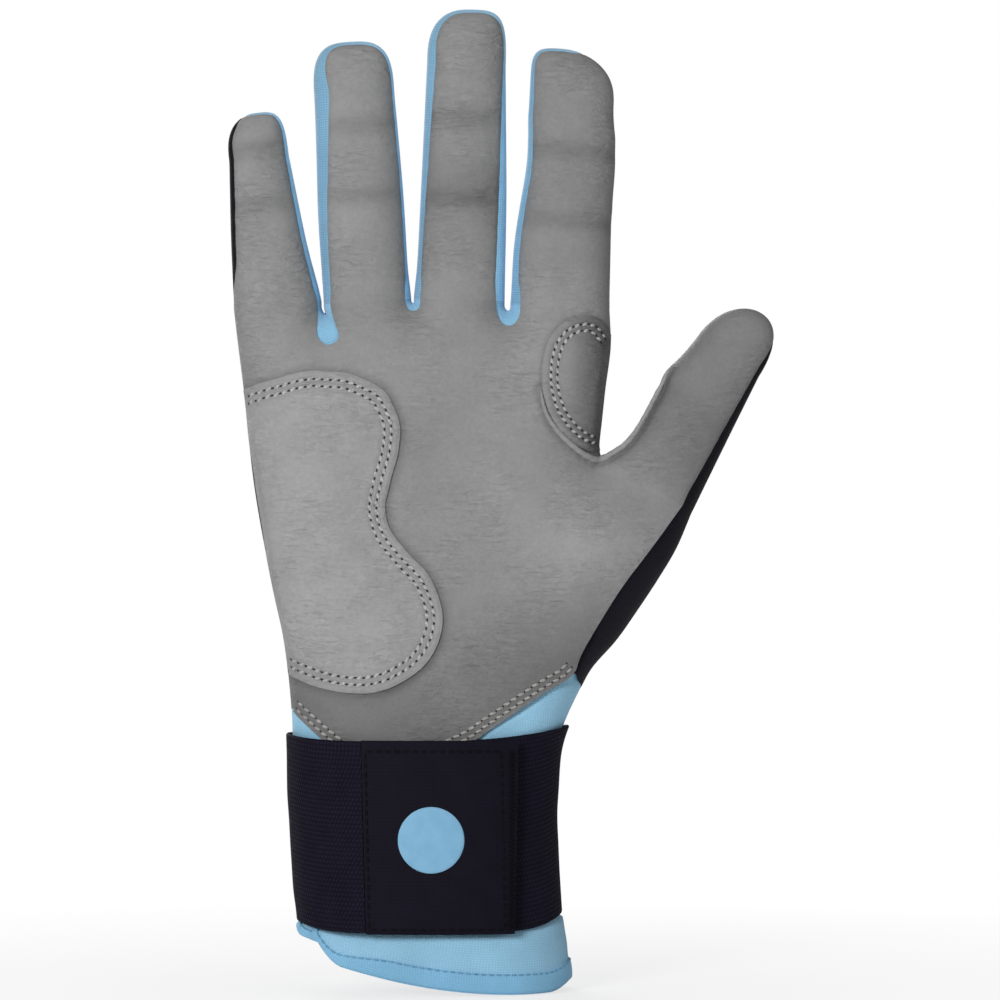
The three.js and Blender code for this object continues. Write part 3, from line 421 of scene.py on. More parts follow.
def digit_points(stations, shares):
    """Points on a digit's skin. A share of -1 is the middle of its palm side, 0 its outline, 1 its back."""
    reach = bulge(shares)
    plan = stations.spine[:, None, :] + (stations.edge - stations.spine)[:, None, :] * reach[..., None]
    middle = lerp(stations.spine_middle[:, None], stations.edge_middle[:, None], reach)
    y = middle + shares * stations.depth[:, None]
    return np.stack([plan[..., 0], y, plan[..., 1]], axis=-1)


little = make_digit("little", (-38.22, 177.2), length=50.0, cap=11.6, lean=-6.3, fold=24, root_width=21.9,
                    tip_width=15.5, tip_depth=7.4, skew=1.4, squareness=2.8,
                    front=(1.2, 1.2, 0.85, 0.5, 0.4), creases=(26, 40), shade=0.95,
                    bends=((1, 0.0, 0.28, 0.95), (-1, 0.5, 0.35, 0.25)))
ring = make_digit("ring", (-14.65, 178.3), length=67.2, cap=13.5, lean=-3.3, fold=29, root_width=22.2,
                  tip_width=20.8, tip_depth=8.4, skew=0, squareness=3.1, front=(1.9, 3.9, 0.35, 0.3, 0.8),
                  creases=(27, 45), splay=(0.0, 1.1),
                  bends=((-1, 0.42, 0.3, 0.5), (1, 0.5, 0.35, 0.4), (1, 0.0, 0.11, 0.45)))
middle = make_digit("middle", (9.58, 178.7), length=75.1, cap=14, lean=1.6, fold=31, root_width=23.1,
                    tip_width=20.4, tip_depth=8.6, skew=1.5, squareness=3.0, front=(0.9, 2.1, 2.2, 0.3, 0.8),
                    creases=(26, 47), shade=0.93, splay=(0.8, 0.0),
                    bends=((1, 0.45, 0.35, 0.4), (-1, 0.0, 0.1, 0.45)), dusk=(28.0, 9.0, 0.2))
index = make_digit("index", (35.60, 176.9), length=66.6, cap=14.5, lean=3.2, fold=30, root_width=25.8,
                   tip_width=22.0, tip_depth=8.6, skew=-4.5, squareness=2.7, front=(1.4, 0.9, 0.0, 0.0, 0.7),
                   creases=(22, 40), shade=0.88, splay=(1.1, 0.0),
                   bends=((-1, 0.28, 0.18, 0.5), (-1, 0.72, 0.18, -0.8), (1, 0.74, 0.2, 0.75)))
thumb = make_digit("thumb", (57.98, 131.0), length=53.0, cap=14, lean=32.5, fold=20, root_width=28.0,
                   tip_width=19.0, root_depth=12.0, tip_depth=8.6, curl=7.0, skew=1.2, squareness=2.1,
                   front=(0.0, 0.0, 3.3, 1.1, 0.0), creases=(23,), creased=0.35, shade=0.76, bow=2.4,
                   bends=((-1, 0.7, 0.1, 0.95), (-1, 0.42, 0.2, -0.4)), dusk=(19.0, 12.0, 0.09))
fingers = [little, ring, middle, index]


def seam_shares(digit, stations):
    """Depth shares of a digit's two seams: leather to side, and side to back. They are equal where the
    leather meets the back with no side between."""
    left_root, left_tip, right_root, right_tip, top = digit.front
    climb = stations.rise ** 1.7
    left = lerp(lerp(left_root, left_tip, climb), top, smooth(-stations.turn, -180, -90))
    near_root = 1 - smooth(stations.rise, 0, 0.14)
    left = left + digit.splay[0] * near_root
    right = lerp(lerp(right_root, right_tip, climb), top, smooth(stations.turn, 0, 90))
    right = right + digit.splay[1] * near_root
    width = np.where(stations.turn > 90, left, right)
    if digit is little:
        width = width * (1 - 0.92 * hump(stations.turn - 112, 14))
    front = -bulge(1 - width / stations.width)
    left_root, left_tip, right_root, right_tip, top = digit.back
    left = lerp(lerp(left_root, left_tip, stations.rise), top, smooth(-stations.turn, -180, -90))
    right = lerp(lerp(right_root, right_tip, stations.rise), top, smooth(stations.turn, 0, 90))
    back = bulge(1 - np.where(stations.turn > 90, left, right) / stations.width)
    if digit is little:
        front = front * np.where(stations.turn > 90, smooth(stations.rise, 0, 0.34), 1.0)
        return front, lerp(front, back, 1 - smooth(stations.turn, 98, 116))
    if digit is index:
        walled = smooth(stations.turn, 58, 78)
        return front * walled, back * walled
    if digit is thumb:
        wrapped = -bulge(1 - right_wrap(digit, stations) / stations.width)
        return wrapped, wrapped
    return front, back


def right_wrap(digit, stations):
    """How far the back comes round the outer side of the thumb, to the front."""
    width = lerp(*digit.front[2:4], stations.rise) * (1 - smooth(stations.turn, 5, 45))
    return np.where(stations.turn > 90, 0.0, width)


print("digits:", [d.name for d in fingers + [thumb]])

# %% [markdown]
# ## The palm and the wrist
#
# The outline of the hand is drawn as smooth lines through a few measured points. Half the thickness at a
# place depends on how far it is from the nearest outline. The wrist is a full oval, the palm is flatter with
# a round border, and the ball of the thumb swells on the palm side.

# %% Hand outline
def root_end(digit, side):
    return shaft_stations(digit, [0.0], side).edge[0]


WRIST_HALF_WIDTH = 33.5
WRIST_HALF_DEPTH = 21.0
WRIST_TOP = 70.0
OUTLINE_STEP = 0.9
thumb_inner = root_end(thumb, -1)
thumb_outer = root_end(thumb, 1)


def side_line(*points):
    return even_line(rounded_line(points, 1.0), OUTLINE_STEP)


ulnar_line = side_line(root_end(little, -1), (-48.2, 168.0), (-46.4, 153.5), (-43.8, 130.0), (-39.5, 106.0),
                       (-36.2, 90.5), (-34.5, 76.0), (-34.0, 66.0), (-33.7, 50.0), (-33.1, 38.0),
                       (-32.2, 26.0), (-31.4, 18.0), (-30.6, 0.0))
thenar_line = side_line(thumb_outer, (65.8, 114.2), (60.9, 106.0), (55.8, 98.3), (50.3, 90.5), (44.2, 83.6),
                        (41.0, 78.0), (36.8, 69.0), (34.4, 61.0), (33.6, 49.0), (33.6, 38.0), (34.2, 28.0),
                        (34.9, 18.0), (36.0, 0.0))
radial_line = side_line(root_end(index, 1), (48.8, 169.0), (48.5, 164.0), (47.4, 156.0), (46.5, 147.7),
                        (45.8, 141.0), thumb_inner)
WEB_SHAPES = {
    "little": SimpleNamespace(gap_shift=0.8, gap_depth=2.4, shift=1.8, length=10.6, swell=2.6,
                              squareness=2.5),
    "ring": SimpleNamespace(gap_shift=0.2, gap_depth=0.7, shift=0.2, length=3.0, swell=0.1, squareness=2.3),
    "middle": SimpleNamespace(gap_shift=0.2, gap_depth=1.3, shift=0.3, length=5.5, swell=0.0, squareness=2.2),
}
ARC_STEPS = 28
ARC = np.linspace(math.pi, 0, ARC_STEPS + 1)
crotches = []
for left, right in zip(fingers[:-1], fingers[1:]):
    a, b = root_end(left, 1), root_end(right, -1)
    shape = WEB_SHAPES[left.name]
    half = max(0.25, (b[0] - a[0]) / 2)
    centre = np.array([(a[0] + b[0]) / 2, min(a[1], b[1]) - 0.15])
    x = half * np.cos(ARC) + shape.gap_shift * np.sin(ARC) ** 2
    arc = centre + np.stack([x, -shape.gap_depth * np.sin(ARC)], axis=1)
    crotches.append(SimpleNamespace(left=left, right=right, half=half, centre=centre, shape=shape,
                                    gap=np.vstack([a, arc, b])))


def x_at(line, height):
    order = np.argsort(line[:, 1])
    return np.interp(height, line[order, 1], line[order, 0])


def on_side(line, height):
    return float(x_at(line, height)), height


def distance_to_segments(points, starts, ends):
    step = ends - starts
    length = np.maximum(1e-12, (step ** 2).sum(1))
    nearest = np.full(len(points), 1e9)
    for s, d, l in zip(starts, step, length):
        share = np.clip(((points - s) @ d) / l, 0, 1)
        gap = points - s - share[:, None] * d
        nearest = np.minimum(nearest, (gap ** 2).sum(1))
    return np.sqrt(nearest)


def distance_to_line(points, line):
    line = np.asarray(line, float)
    return distance_to_segments(np.asarray(points, float), line[:-1], line[1:])


side_lines = [ulnar_line, thenar_line, radial_line]
for digit in fingers + [thumb]:
    for side in (-1, 1):
        distances = np.concatenate([np.linspace(0, 12, 9), np.linspace(15, digit.shaft, 6)])
        side_lines.append(shaft_stations(digit, distances, side).edge)
side_lines.extend(crotch.gap for crotch in crotches)
outline_starts = np.vstack([line[:-1] for line in side_lines])
outline_ends = np.vstack([line[1:] for line in side_lines])


def outline_distance(points):
    """How far plan points are inside the hand's outline. Beside the wrist it is negative outside."""
    nearest = distance_to_segments(points, outline_starts, outline_ends)
    x, z = points.T
    outside = (z < 82) & ((x < x_at(ulnar_line, z)) | (x > x_at(thenar_line, z)))
    return np.where(outside, -nearest, nearest)


def welt_crease_shade(points):
    """Painted shade in the crease on the palm's side of the welt, from 0 to 1."""
    away = distance_to_line(points.reshape(-1, 2), WELT_LINE).reshape(points.shape[:-1])
    return hump(away - 1.0, 0.6)


WELT_STEP = 0.4
climb = np.arange(4.0, 28.5, 2.0)
from_outline = lerp(1.2, 0.7, smooth(climb, 4, 20))[:, None]
beside_thumb = shaft_stations(thumb, climb, -1).edge + from_outline * thumb.across
WELT_LINE = rounded_line([(30.4, 156.0), (31.4, 150.6), (33.3, 146.6), (35.8, 143.5), (38.9, 140.5),
                          (42.0, 138.2), (44.6, 137.0), (47.0, 137.2), *beside_thumb], WELT_STEP)

# %% Hand surface
LOWEST_ROOT = min(d.centre[1] for d in fingers)
thenar_centre = thumb.centre + [-16.0, -20.0]
root_places = [d.centre[0] for d in fingers]
root_halves = [d.root_width / 2 for d in fingers]


def hand_depth(points, side, grow=0.0):
    """Half the hand's thickness at plan points, on the palm (-1) or the back (1). grow lifts the surface."""
    points = np.atleast_2d(np.asarray(points, float))
    x, z = points.T
    palm = smooth(z, WRIST_TOP, WRIST_TOP + 40)
    roots = smooth(z, LOWEST_ROOT - 36, LOWEST_ROOT)
    beyond = (points - thumb.centre) @ thumb.along
    near_thumb = smooth(beyond, -20, 0) * smooth(x, thumb_inner[0] - 16, thumb_inner[0] + CROTCH_RADIUS)
    near_thumb = near_thumb * (1 - smooth(z, thumb_inner[1] + 2, LOWEST_ROOT - 6))
    depth = lerp(lerp(WRIST_HALF_DEPTH, 15.5, palm), ROOT_DEPTH, roots)
    border = lerp(lerp(WRIST_HALF_WIDTH, 22.0, palm), np.interp(x, root_places, root_halves), roots)
    depth = lerp(depth, thumb.root_depth, near_thumb)
    border = lerp(border, thumb.root_width / 2, near_thumb)
    if side < 0:
        away = np.linalg.norm(points - thenar_centre, axis=1)
        depth = depth + 4.0 * hump(away, 16) * (1 - near_thumb)
        hollow = hump(x - 12, 20) * hump(z - 128, 24)
        depth = depth - 1.6 * hollow * (1 - roots) * (1 - near_thumb)
    inward = np.clip((outline_distance(points) + grow) / (border + grow), 0, 1)
    return (depth + grow) * bulge(1 - inward)


def hand_points(points, side, grow=0.0):
    points = np.atleast_2d(np.asarray(points, float))
    return np.stack([points[:, 0], side * hand_depth(points, side, grow), points[:, 1]], axis=1)


def palm_lumps(x, z):
    """The slow rise and fall of soft leather over a hand, on the palm side."""
    return 0.22 * soft_noise(x, z, 11, 3) + 0.16 * soft_noise(x + 40, z * 1.6, 6, 5)


print("palm depth at its middle:", hand_depth([(10.0, 130.0)], -1).round(2))

# %% [markdown]
# ## Making a sheet into a piece
#
# A sewn panel is a sheet of points with a UV map in millimetres and a tone of painted light and shade for its
# colour. Solidify gives it the thickness of the leather or cloth, inwards, and a closed rim. Smooth shading
# stops at edges sharper than the limit, so the rim stays crisp. Then the piece is tied to the frame: its CAD
# node is hidden, and a piece of the hand rides on a body, while a digit's piece is only baked in place.

# %% Piece helpers
def grid_faces(rows, columns):
    i, j = np.meshgrid(np.arange(rows - 1), np.arange(columns - 1), indexing="ij")
    a = (i * columns + j).ravel()
    return np.stack([a, a + 1, a + columns + 1, a + columns], axis=1)


def outward_normals(grid, inside):
    """Unit normals at the points of a grid, away from a point inside."""
    down = np.gradient(grid, axis=0)
    sideways = np.gradient(grid, axis=1)
    normal = np.cross(down, sideways)
    normal /= np.maximum(1e-9, np.linalg.norm(normal, axis=-1, keepdims=True))
    return normal * np.sign(((grid - np.asarray(inside)) * normal).sum())


def run_along(grid, axis):
    """How far each point of a grid is from its first row (axis 0) or column (axis 1), along the sheet."""
    steps = np.diff(grid, axis=axis, prepend=np.take(grid, [0], axis=axis))
    return np.cumsum(np.linalg.norm(steps, axis=2), axis=axis)


def grid_uv(grid):
    return np.stack([run_along(grid, 0), run_along(grid, 1)], axis=-1)


def show(name, mesh):
    """Puts a mesh into the scene as the one selected object."""
    made = bpy.data.objects.new(name, mesh)
    bpy.context.scene.collection.objects.link(made)
    bpy.ops.object.select_all(action="DESELECT")
    made.select_set(True)
    bpy.context.view_layer.objects.active = made
    return made


def make_piece(name, points, faces, uv, tone, material, thickness, inside, crisp=50):
    """Builds a sheet as one mesh object. Its faces look away from inside, a point in the glove."""
    points = np.asarray(points, float).reshape(-1, 3)
    faces = [tuple(dict.fromkeys(int(k) for k in face)) for face in faces]
    mesh = bpy.data.meshes.new(name)
    mesh.from_pydata((points * MM).tolist(), [], [f for f in faces if len(f) > 2])
    uv = np.asarray(uv, float).reshape(-1, 2) * MM
    corners = np.zeros(len(mesh.loops), int)
    mesh.loops.foreach_get("vertex_index", corners)
    mesh.uv_layers.new(name="cloth").data.foreach_set("uv", uv[corners].astype(np.float32).ravel())
    attribute = mesh.attributes.new("tone", "FLOAT", "POINT")
    attribute.data.foreach_set("value", np.broadcast_to(np.asarray(tone, np.float32).ravel(), len(points)))
    mesh.materials.append(material)
    made = show(name, mesh)
    bpy.ops.object.mode_set(mode="EDIT")
    bpy.ops.mesh.select_all(action="SELECT")
    bpy.ops.mesh.remove_doubles(threshold=0.00001)
    bpy.ops.mesh.dissolve_degenerate(threshold=0.000001)
    bpy.ops.mesh.normals_make_consistent(inside=False)
    bpy.ops.object.mode_set(mode="OBJECT")
    centres = np.array([p.center for p in mesh.polygons])
    normals = np.array([p.normal * p.area for p in mesh.polygons])
    if ((centres - np.asarray(inside, float) * MM) * normals).sum() < 0:
        mesh.flip_normals()
    if thickness > 0:
        bpy.ops.object.modifier_add(type="SOLIDIFY")
        solid = made.modifiers[-1]
        solid.thickness = thickness * MM
        solid.offset = -1.0
        solid.use_rim = True
        bpy.ops.object.modifier_apply(modifier=solid.name)
    bpy.ops.object.shade_smooth_by_angle(angle=math.radians(crisp))
    return made


def grid_piece(name, grid, tone, material, thickness, inside, turned=False):
    """A piece made from a grid of points. turned lays its cloth the other way."""
    uv = grid_uv(grid)[..., ::-1] if turned else grid_uv(grid)
    return make_piece(name, grid, grid_faces(*grid.shape[:2]), uv, tone, material, thickness, inside)


def tie(piece, body, slot, *nodes):
    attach(piece, body)
    if nodes:
        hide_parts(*nodes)
    return piece


def tie_bending(piece, digit, upper, slot, *nodes):
    """Bakes a digit's piece in place and hides the CAD nodes it stands for."""
    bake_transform(piece)
    if nodes:
        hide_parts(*nodes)
    return piece


LEATHER = 0.9
CLOTH = 0.8
HAND_INSIDE = (5, 0, 120)
WRIST_INSIDE = (2, 0, 40)

# %% [markdown]
# ## Finger panels
#
# Leather, side and back of a finger are strips of the same skin. Each strip starts at a seam. There the cloth
# turns inwards, so the surface dips in a small groove, and the thread draws it into short puckers. The
# leather also has its fold creases, deepest in the middle of the finger.

# %% Finger panel functions
SHARE_STEPS = 16
# Painted light: the blue sides that look away from the key light are drawn lighter.
RIGHT_PAINTED_LIGHT = 1.62    # sides that look away from the key light
# Painted light: navy cloth that looks to the back is drawn lighter, and keeps only a share of that where it
# turns to the front.
BACK_PAINTED_LIGHT = 1.75     # navy cloth that looks to the back
FRONT_LIGHT_SHARE = 0.34   # what is left of that tone where the navy cloth turns to the front


def panel_shares(edge, side, steps=SHARE_STEPS):
    start = np.arcsin(np.clip(edge, -1, 1))[:, None]
    return np.sin(lerp(start, side * math.pi / 2, np.linspace(0, 1, steps + 1)[None]))


def wall_shares(front, back, steps=10):
    return lerp(front[:, None], back[:, None], np.linspace(0, 1, steps + 1)[None])


def seam_groove(distance, run):
    """The dip beside a seam, with puckers along it."""
    pucker = 0.75 + 0.25 * soft_noise(run, run * 0.37, 1.9, 11)
    return -0.42 * pucker * hump(distance, 0.75)


def finger_relief(digit, grid, side):
    """Creases and soft lumps of a finger, as a height over its plain shape."""
    plan = grid[..., [0, 2]] - digit.centre
    up = plan @ digit.along
    x, z = grid[..., 0], grid[..., 2]
    lumps = 0.13 * soft_noise(x, z, 7, 21) + 0.07 * soft_noise(x, z * 1.8, 3.4, 22)
    if side > 0:
        return lumps + 0.18 * soft_noise(x * 0.5, z * 2.2, 3.6, 24)
    folds = np.zeros(up.shape)
    for place in digit.creases:
        wander = place + 0.7 * soft_noise(x, z * 0 + place, 6, 23)
        folds -= 0.5 * hump(up - wander, 1.5)
        folds += 0.22 * hump(up - wander - 4.2, 2.6)
        folds -= 0.16 * hump(up - wander - 2.8, 0.8) * (0.5 + 0.5 * soft_noise(x, z, 5, 25))
        folds -= 0.16 * hump(up - wander + 2.9, 0.8) * (0.5 + 0.5 * soft_noise(x, z, 5, 26))
    return (lumps + folds * digit.creased * smooth(up, 2, 8)) * smooth(up, 0, 5)


# Painted shade on a digit's leather: darker by its shade, near the thumb's root, in each fold crease, in its
# band of shade, and in the crease beside the thumb's welt.
def finger_painted_shade(digit, grid):
    up = (grid[..., [0, 2]] - digit.centre) @ digit.along
    tone = np.full(up.shape, digit.shade)
    if digit is thumb:
        tone = lerp(0.9, tone, smooth(up, 0, 12))
    else:
        tone = lerp(1.0, tone, smooth(up, 0, 14))
    for place in digit.creases:
        tone -= 0.13 * digit.creased * hump(up - place, 2.4)
    place, reach, amount = digit.dusk
    tone = tone - amount * hump(up - place, reach)
    return tone - 0.28 * welt_crease_shade(grid[..., [0, 2]]) if digit is thumb else tone


def lower_row(digit, distances, side_of_panel):
    """Grid over the palm side (-1) or back (1) of a finger's shaft, from its left seam to its right one."""
    halves = []
    for side in (-1, 1):
        stations = shaft_stations(digit, distances, side)
        front, back = seam_shares(digit, stations)
        shares = panel_shares(front if side_of_panel < 0 else back, side_of_panel)
        halves.append(digit_points(stations, shares))
    return np.concatenate([halves[0], halves[1][:, -2::-1]], axis=1)


def upper_stations(digit):
    distances = np.arange(digit.fold, digit.shaft - 0.5, 1.0)
    turns = np.linspace(180, 0, 61)
    return join_stations(shaft_stations(digit, distances, -1), cap_stations(digit, turns),
                         shaft_stations(digit, distances[::-1], 1))


def finish_panel(digit, name, grid, side, material, inside, thickness, both_edges, wall_tone=1.0, fade=1.0):
    """Adds seams and relief to a panel's grid and makes the piece. fade lessens the seams' groove."""
    normals = outward_normals(grid, inside)
    run = run_along(grid, 0)[:, :1]
    from_edge = run_along(grid, 1)
    height = seam_groove(from_edge, run)
    if both_edges:
        from_far_edge = run_along(grid[:, ::-1], 1)[:, ::-1]
        height = height + seam_groove(from_far_edge, run + 50)
        from_edge = np.minimum(from_edge, from_far_edge)
    height = height * fade
    # The tone is painted light and shade: the wall's own painted light, the leather's painted shade, and the
    # navy's painted light that fades where it turns to the front.
    tone = np.broadcast_to(np.asarray(wall_tone, float), grid.shape[:2])
    if side != 0:
        facing = smooth(normals[..., 1], 0.3, 0.8) if side > 0 else 1.0
        height = height + finger_relief(digit, grid, side) * smooth(from_edge, 0.3, 4.5) * facing
        tone = finger_painted_shade(digit, grid) if side < 0 else tone * lerp(FRONT_LIGHT_SHARE, 1.0, facing)
    raised = grid + normals * height[..., None]
    faces = grid_faces(*grid.shape[:2])
    return make_piece(name, raised, faces, grid_uv(grid), tone, material, thickness, inside)


def digit_inside(digit, upper):
    up = digit.fold + 6 if upper else digit.fold / 2
    at = digit.centre + digit.along * up
    return (at[0], -digit.curl * (up / digit.shaft) ** 2, at[1])


# %% Finger fronts, backs and sides
made_fingers = []
for digit in fingers + [thumb]:
    low = np.linspace(0, digit.fold, int(digit.fold) + 1)
    from_knuckle = smooth(low, 0, 4)[:, None]
    for side, word, material, slot, thickness in ((-1, "front", leather, "grey_leather", LEATHER),
                                                  (1, "back", navy_knit, "navy_cloth", CLOTH)):
        label = "leather" if side < 0 else "navy"
        grid = lower_row(digit, low, side)
        piece = finish_panel(digit, f"{label}_{digit.name}_lower", grid, side, material,
                             digit_inside(digit, False), thickness, True, BACK_PAINTED_LIGHT, from_knuckle)
        made_fingers.append(tie_bending(piece, digit, False, slot, f"{digit.name}_{word}_lower"))
        stations = upper_stations(digit)
        front, back = seam_shares(digit, stations)
        grid = digit_points(stations, panel_shares(front if side < 0 else back, side))
        piece = finish_panel(digit, f"{label}_{digit.name}_upper", grid, side, material,
                             digit_inside(digit, True), thickness, False, BACK_PAINTED_LIGHT)
        made_fingers.append(tie_bending(piece, digit, True, slot, f"{digit.name}_{word}_upper"))
    if digit is thumb:
        continue
    for side, word in ((-1, "ulnar"), (1, "radial")):
        if (digit is little and side < 0) or (digit is index and side > 0):
            continue
        stations = shaft_stations(digit, low, side)
        grid = digit_points(stations, wall_shares(*seam_shares(digit, stations)))
        piece = finish_panel(digit, f"blue_side_{digit.name}_{word}_lower", grid, 0, blue_knit,
                             digit_inside(digit, False), CLOTH, True, 1.0 if side < 0 else RIGHT_PAINTED_LIGHT,
                             from_knuckle)
        tie_bending(piece, digit, False, "blue_cloth", f"{digit.name}_wall_lower_{word}")
        made_fingers.append(piece)
    stations = upper_stations(digit)
    front, back = seam_shares(digit, stations)
    walled = back - front > 0.02
    grid = digit_points(stations, wall_shares(front, back))[walled]
    # The upper wall's painted light fades from its right side round the tip.
    tone = lerp(RIGHT_PAINTED_LIGHT, 1.0, smooth(stations.turn, 30, 120))[walled][:, None]
    piece = finish_panel(digit, f"blue_side_{digit.name}_upper", grid, 0, blue_knit,
                         digit_inside(digit, True), CLOTH, True, tone)
    made_fingers.append(tie_bending(piece, digit, True, "blue_cloth", f"{digit.name}_wall_upper"))
print("finger pieces:", len(made_fingers))

# %% [markdown]
# ## Webs between the fingers
#
# Where two fingers meet, the blue sides join in a small web that shows on the palm as a rounded tongue. It is
# made as a fan of strips from the leather's edge, round the closed end of the gap, to the edge of the back.

# %% Webs
BACK_TONGUE = SimpleNamespace(shift=0.0, length=4.6, swell=0.0, squareness=2.5)


def web_edge(crotch, side):
    """Inner edge of a web in the plan: a rounded tongue below the closed end of the gap."""
    sides = []
    for digit, end in ((crotch.left, 1), (crotch.right, -1)):
        widths = digit.front if side < 0 else digit.back
        splay = digit.splay[0 if end < 0 else 1] if side < 0 else 0.0
        sides.append(crotch.half + widths[2 if end > 0 else 0] + splay)
    shape = crotch.shape if side < 0 else BACK_TONGUE
    across, down = np.cos(ARC), np.sin(ARC)
    half = np.where(across < 0, sides[0], sides[1]) + 2.2 * shape.swell * down ** 2 * np.abs(across)
    x = np.sign(across) * np.abs(across) ** (2 / shape.squareness) * half + shape.shift * down
    return crotch.centre + np.stack([x, -down ** (2 / shape.squareness) * shape.length], axis=1)


def seam_point(digit, side, panel_side):
    """Where a finger's seam crosses its knuckle line, in the plan."""
    stations = shaft_stations(digit, [0.0], side)
    front, back = seam_shares(digit, stations)
    point = digit_points(stations, (front if panel_side < 0 else back)[:, None])[0, 0]
    return point[[0, 2]]


def web_lines(crotch):
    """Three lines round a gap's closed end: the leather's edge, the gap itself and the back's edge."""
    lines = []
    for side in (-1, 1):
        inner = web_edge(crotch, side)
        lines.append(np.vstack([seam_point(crotch.left, 1, side), inner, seam_point(crotch.right, -1, side)]))
    return lines[0], crotch.gap, lines[1]


webs = []
for crotch in crotches:
    front_edge, gap, back_edge = web_lines(crotch)
    columns = []
    for q in np.linspace(0, 1, 13):
        columns.append(hand_points(lerp(front_edge, gap, 1 - (1 - q) ** 2), -1))
    for q in np.linspace(0, 1, 13)[1:]:
        columns.append(hand_points(lerp(gap, back_edge, q ** 2), 1))
    grid = np.stack(columns, axis=1)
    inside = (crotch.centre[0], 0.0, crotch.centre[1] - 12)
    name = f"{crotch.left.name}_{crotch.right.name}"
    run = np.cumsum(np.linalg.norm(np.diff(front_edge, axis=0, prepend=front_edge[:1]), axis=1))
    from_knuckle = smooth(np.minimum(run, run[-1] - run), 0, 3)[:, None]
    # The webs are drawn lighter: painted light in the shaded gaps between the fingers.
    piece = finish_panel(crotch.left, f"blue_web_{name}", grid, 0, blue_knit, inside, CLOTH, True, 1.25,
                         from_knuckle)
    webs.append(tie(piece, "hand", "blue_cloth", f"web_{name}"))
print("webs:", len(webs))

# %% [markdown]
# ## Palm and back of the hand
#
# These two panels have outlines that no tidy grid fits, so they are filled with triangles: rows of points
# follow the outline closely, where the surface curves most, and a honeycomb of points fills the rest. The
# points along each knuckle line are the same as those of the finger above it, so no gap opens there.

# %% Filling an outline
def inside_outline(points, outline):
    x, z = points.T
    inside = np.zeros(len(points), bool)
    for (x0, z0), (x1, z1) in zip(outline, np.roll(outline, -1, axis=0)):
        crosses = (z0 > z) != (z1 > z)
        if crosses.any():
            inside ^= crosses & (x < (x1 - x0) * (z - z0) / (z1 - z0 + 1e-15) + x0)
    return inside


def fill_outline(outline, rings, spacing):
    """Triangles over a closed plan outline. rings are distances from the outline that get rows of points."""
    outline = np.asarray(outline, float)
    closed = np.vstack([outline, outline[:1]])
    ahead = np.roll(outline, -1, axis=0) - np.roll(outline, 1, axis=0)
    normal = np.stack([-ahead[:, 1], ahead[:, 0]], axis=1)
    normal /= np.maximum(1e-9, np.linalg.norm(normal, axis=1, keepdims=True))
    area = (outline[:, 0] * np.roll(outline[:, 1], -1) - np.roll(outline[:, 0], -1) * outline[:, 1]).sum()
    normal *= np.sign(area)
    extra = []
    for ring_distance in rings:
        moved = outline + normal * ring_distance
        keep = inside_outline(moved, outline)
        keep &= distance_to_line(moved, closed) > 0.93 * ring_distance
        extra.append(moved[keep])
    low, high = outline.min(0), outline.max(0)
    rows = np.arange(low[1], high[1], spacing * 0.866)
    comb = np.array([(x + (k % 2) * spacing / 2, z) for k, z in enumerate(rows)
                     for x in np.arange(low[0], high[0], spacing)])
    comb = comb[inside_outline(comb, outline)]
    comb = comb[distance_to_line(comb, closed) > rings[-1] + 0.6 * spacing]
    points = np.vstack([outline, *extra, comb])
    count = len(outline)
    edges = [(k, (k + 1) % count) for k in range(count)]
    result = delaunay_2d_cdt([Vector(p) for p in points], edges, [], 1, 1e-7)
    return np.array([tuple(v) for v in result[0]]), [tuple(f) for f in result[2]]


# %% Palm leather
EDGE_STEP = 0.7
PAD_TOP, PAD_BOTTOM = 155.4, 82.0
PAD_EDGE = rounded_line([on_side(ulnar_line, PAD_TOP), (-38.4, 158.1), (-30.9, 159.7), (-22.4, 159.9),
                         (-15.2, 158.1), (-9.6, 154.8), (-6.5, 149.6), (-5.4, 143.8), (-6.6, 138.0),
                         (-8.7, 131.0), (-9.8, 125.3), (-8.3, 119.4), (-3.7, 113.6), (0.9, 108.4),
                         (3.8, 102.7), (5.2, 96.2), (4.1, 89.9), (0.9, 84.6), (-5.5, 80.0), (-12.5, 77.7),
                         (-20.0, 77.4), (-27.0, 78.8), on_side(ulnar_line, PAD_BOTTOM)], EDGE_STEP)
PATCH_TOP, PATCH_BOTTOM = 169.8, 139.6
PATCH_EDGE = rounded_line([on_side(radial_line, PATCH_TOP), (46.4, 173.0), (42.8, 174.5), (38.6, 173.8),
                           (35.2, 171.7), (32.6, 168.2), (31.2, 163.4), (30.8, 157.6), (31.5, 152.6),
                           (33.2, 148.0), (36.4, 143.6), (40.2, 140.6), (43.6, 139.2),
                           on_side(radial_line, PATCH_BOTTOM)], EDGE_STEP)
run = np.arange(len(PAD_EDGE)) * EDGE_STEP
uneven = 0.28 * smooth(run, 2, 12) * smooth(run[::-1], 2, 12)
wander = np.stack([soft_noise(run, 0 * run + k, 4.5, 81) for k in (9, 40)], axis=1)
PAD_EDGE = PAD_EDGE + uneven[:, None] * wander
PALM_CORNER = (39.6, 83.0)
PALM_POINT = (-9.0, 56.0)
PALM_LEFT = 72.6
leather_side = rounded_line([PALM_CORNER, (41.4, 87.9), (47.5, 98.3), (52.2, 105.5), (56.8, 111.5),
                             (60.6, 116.5), seam_point(thumb, 1, -1)], 1.0)
palm_left_corner = on_side(ulnar_line, PALM_LEFT)
palm_edge_right = rounded_line([PALM_CORNER, (37.6, 80.8), (31.7, 77.4), (25.2, 73.2), (17.4, 68.0),
                                (10.0, 63.4), PALM_POINT], OUTLINE_STEP)
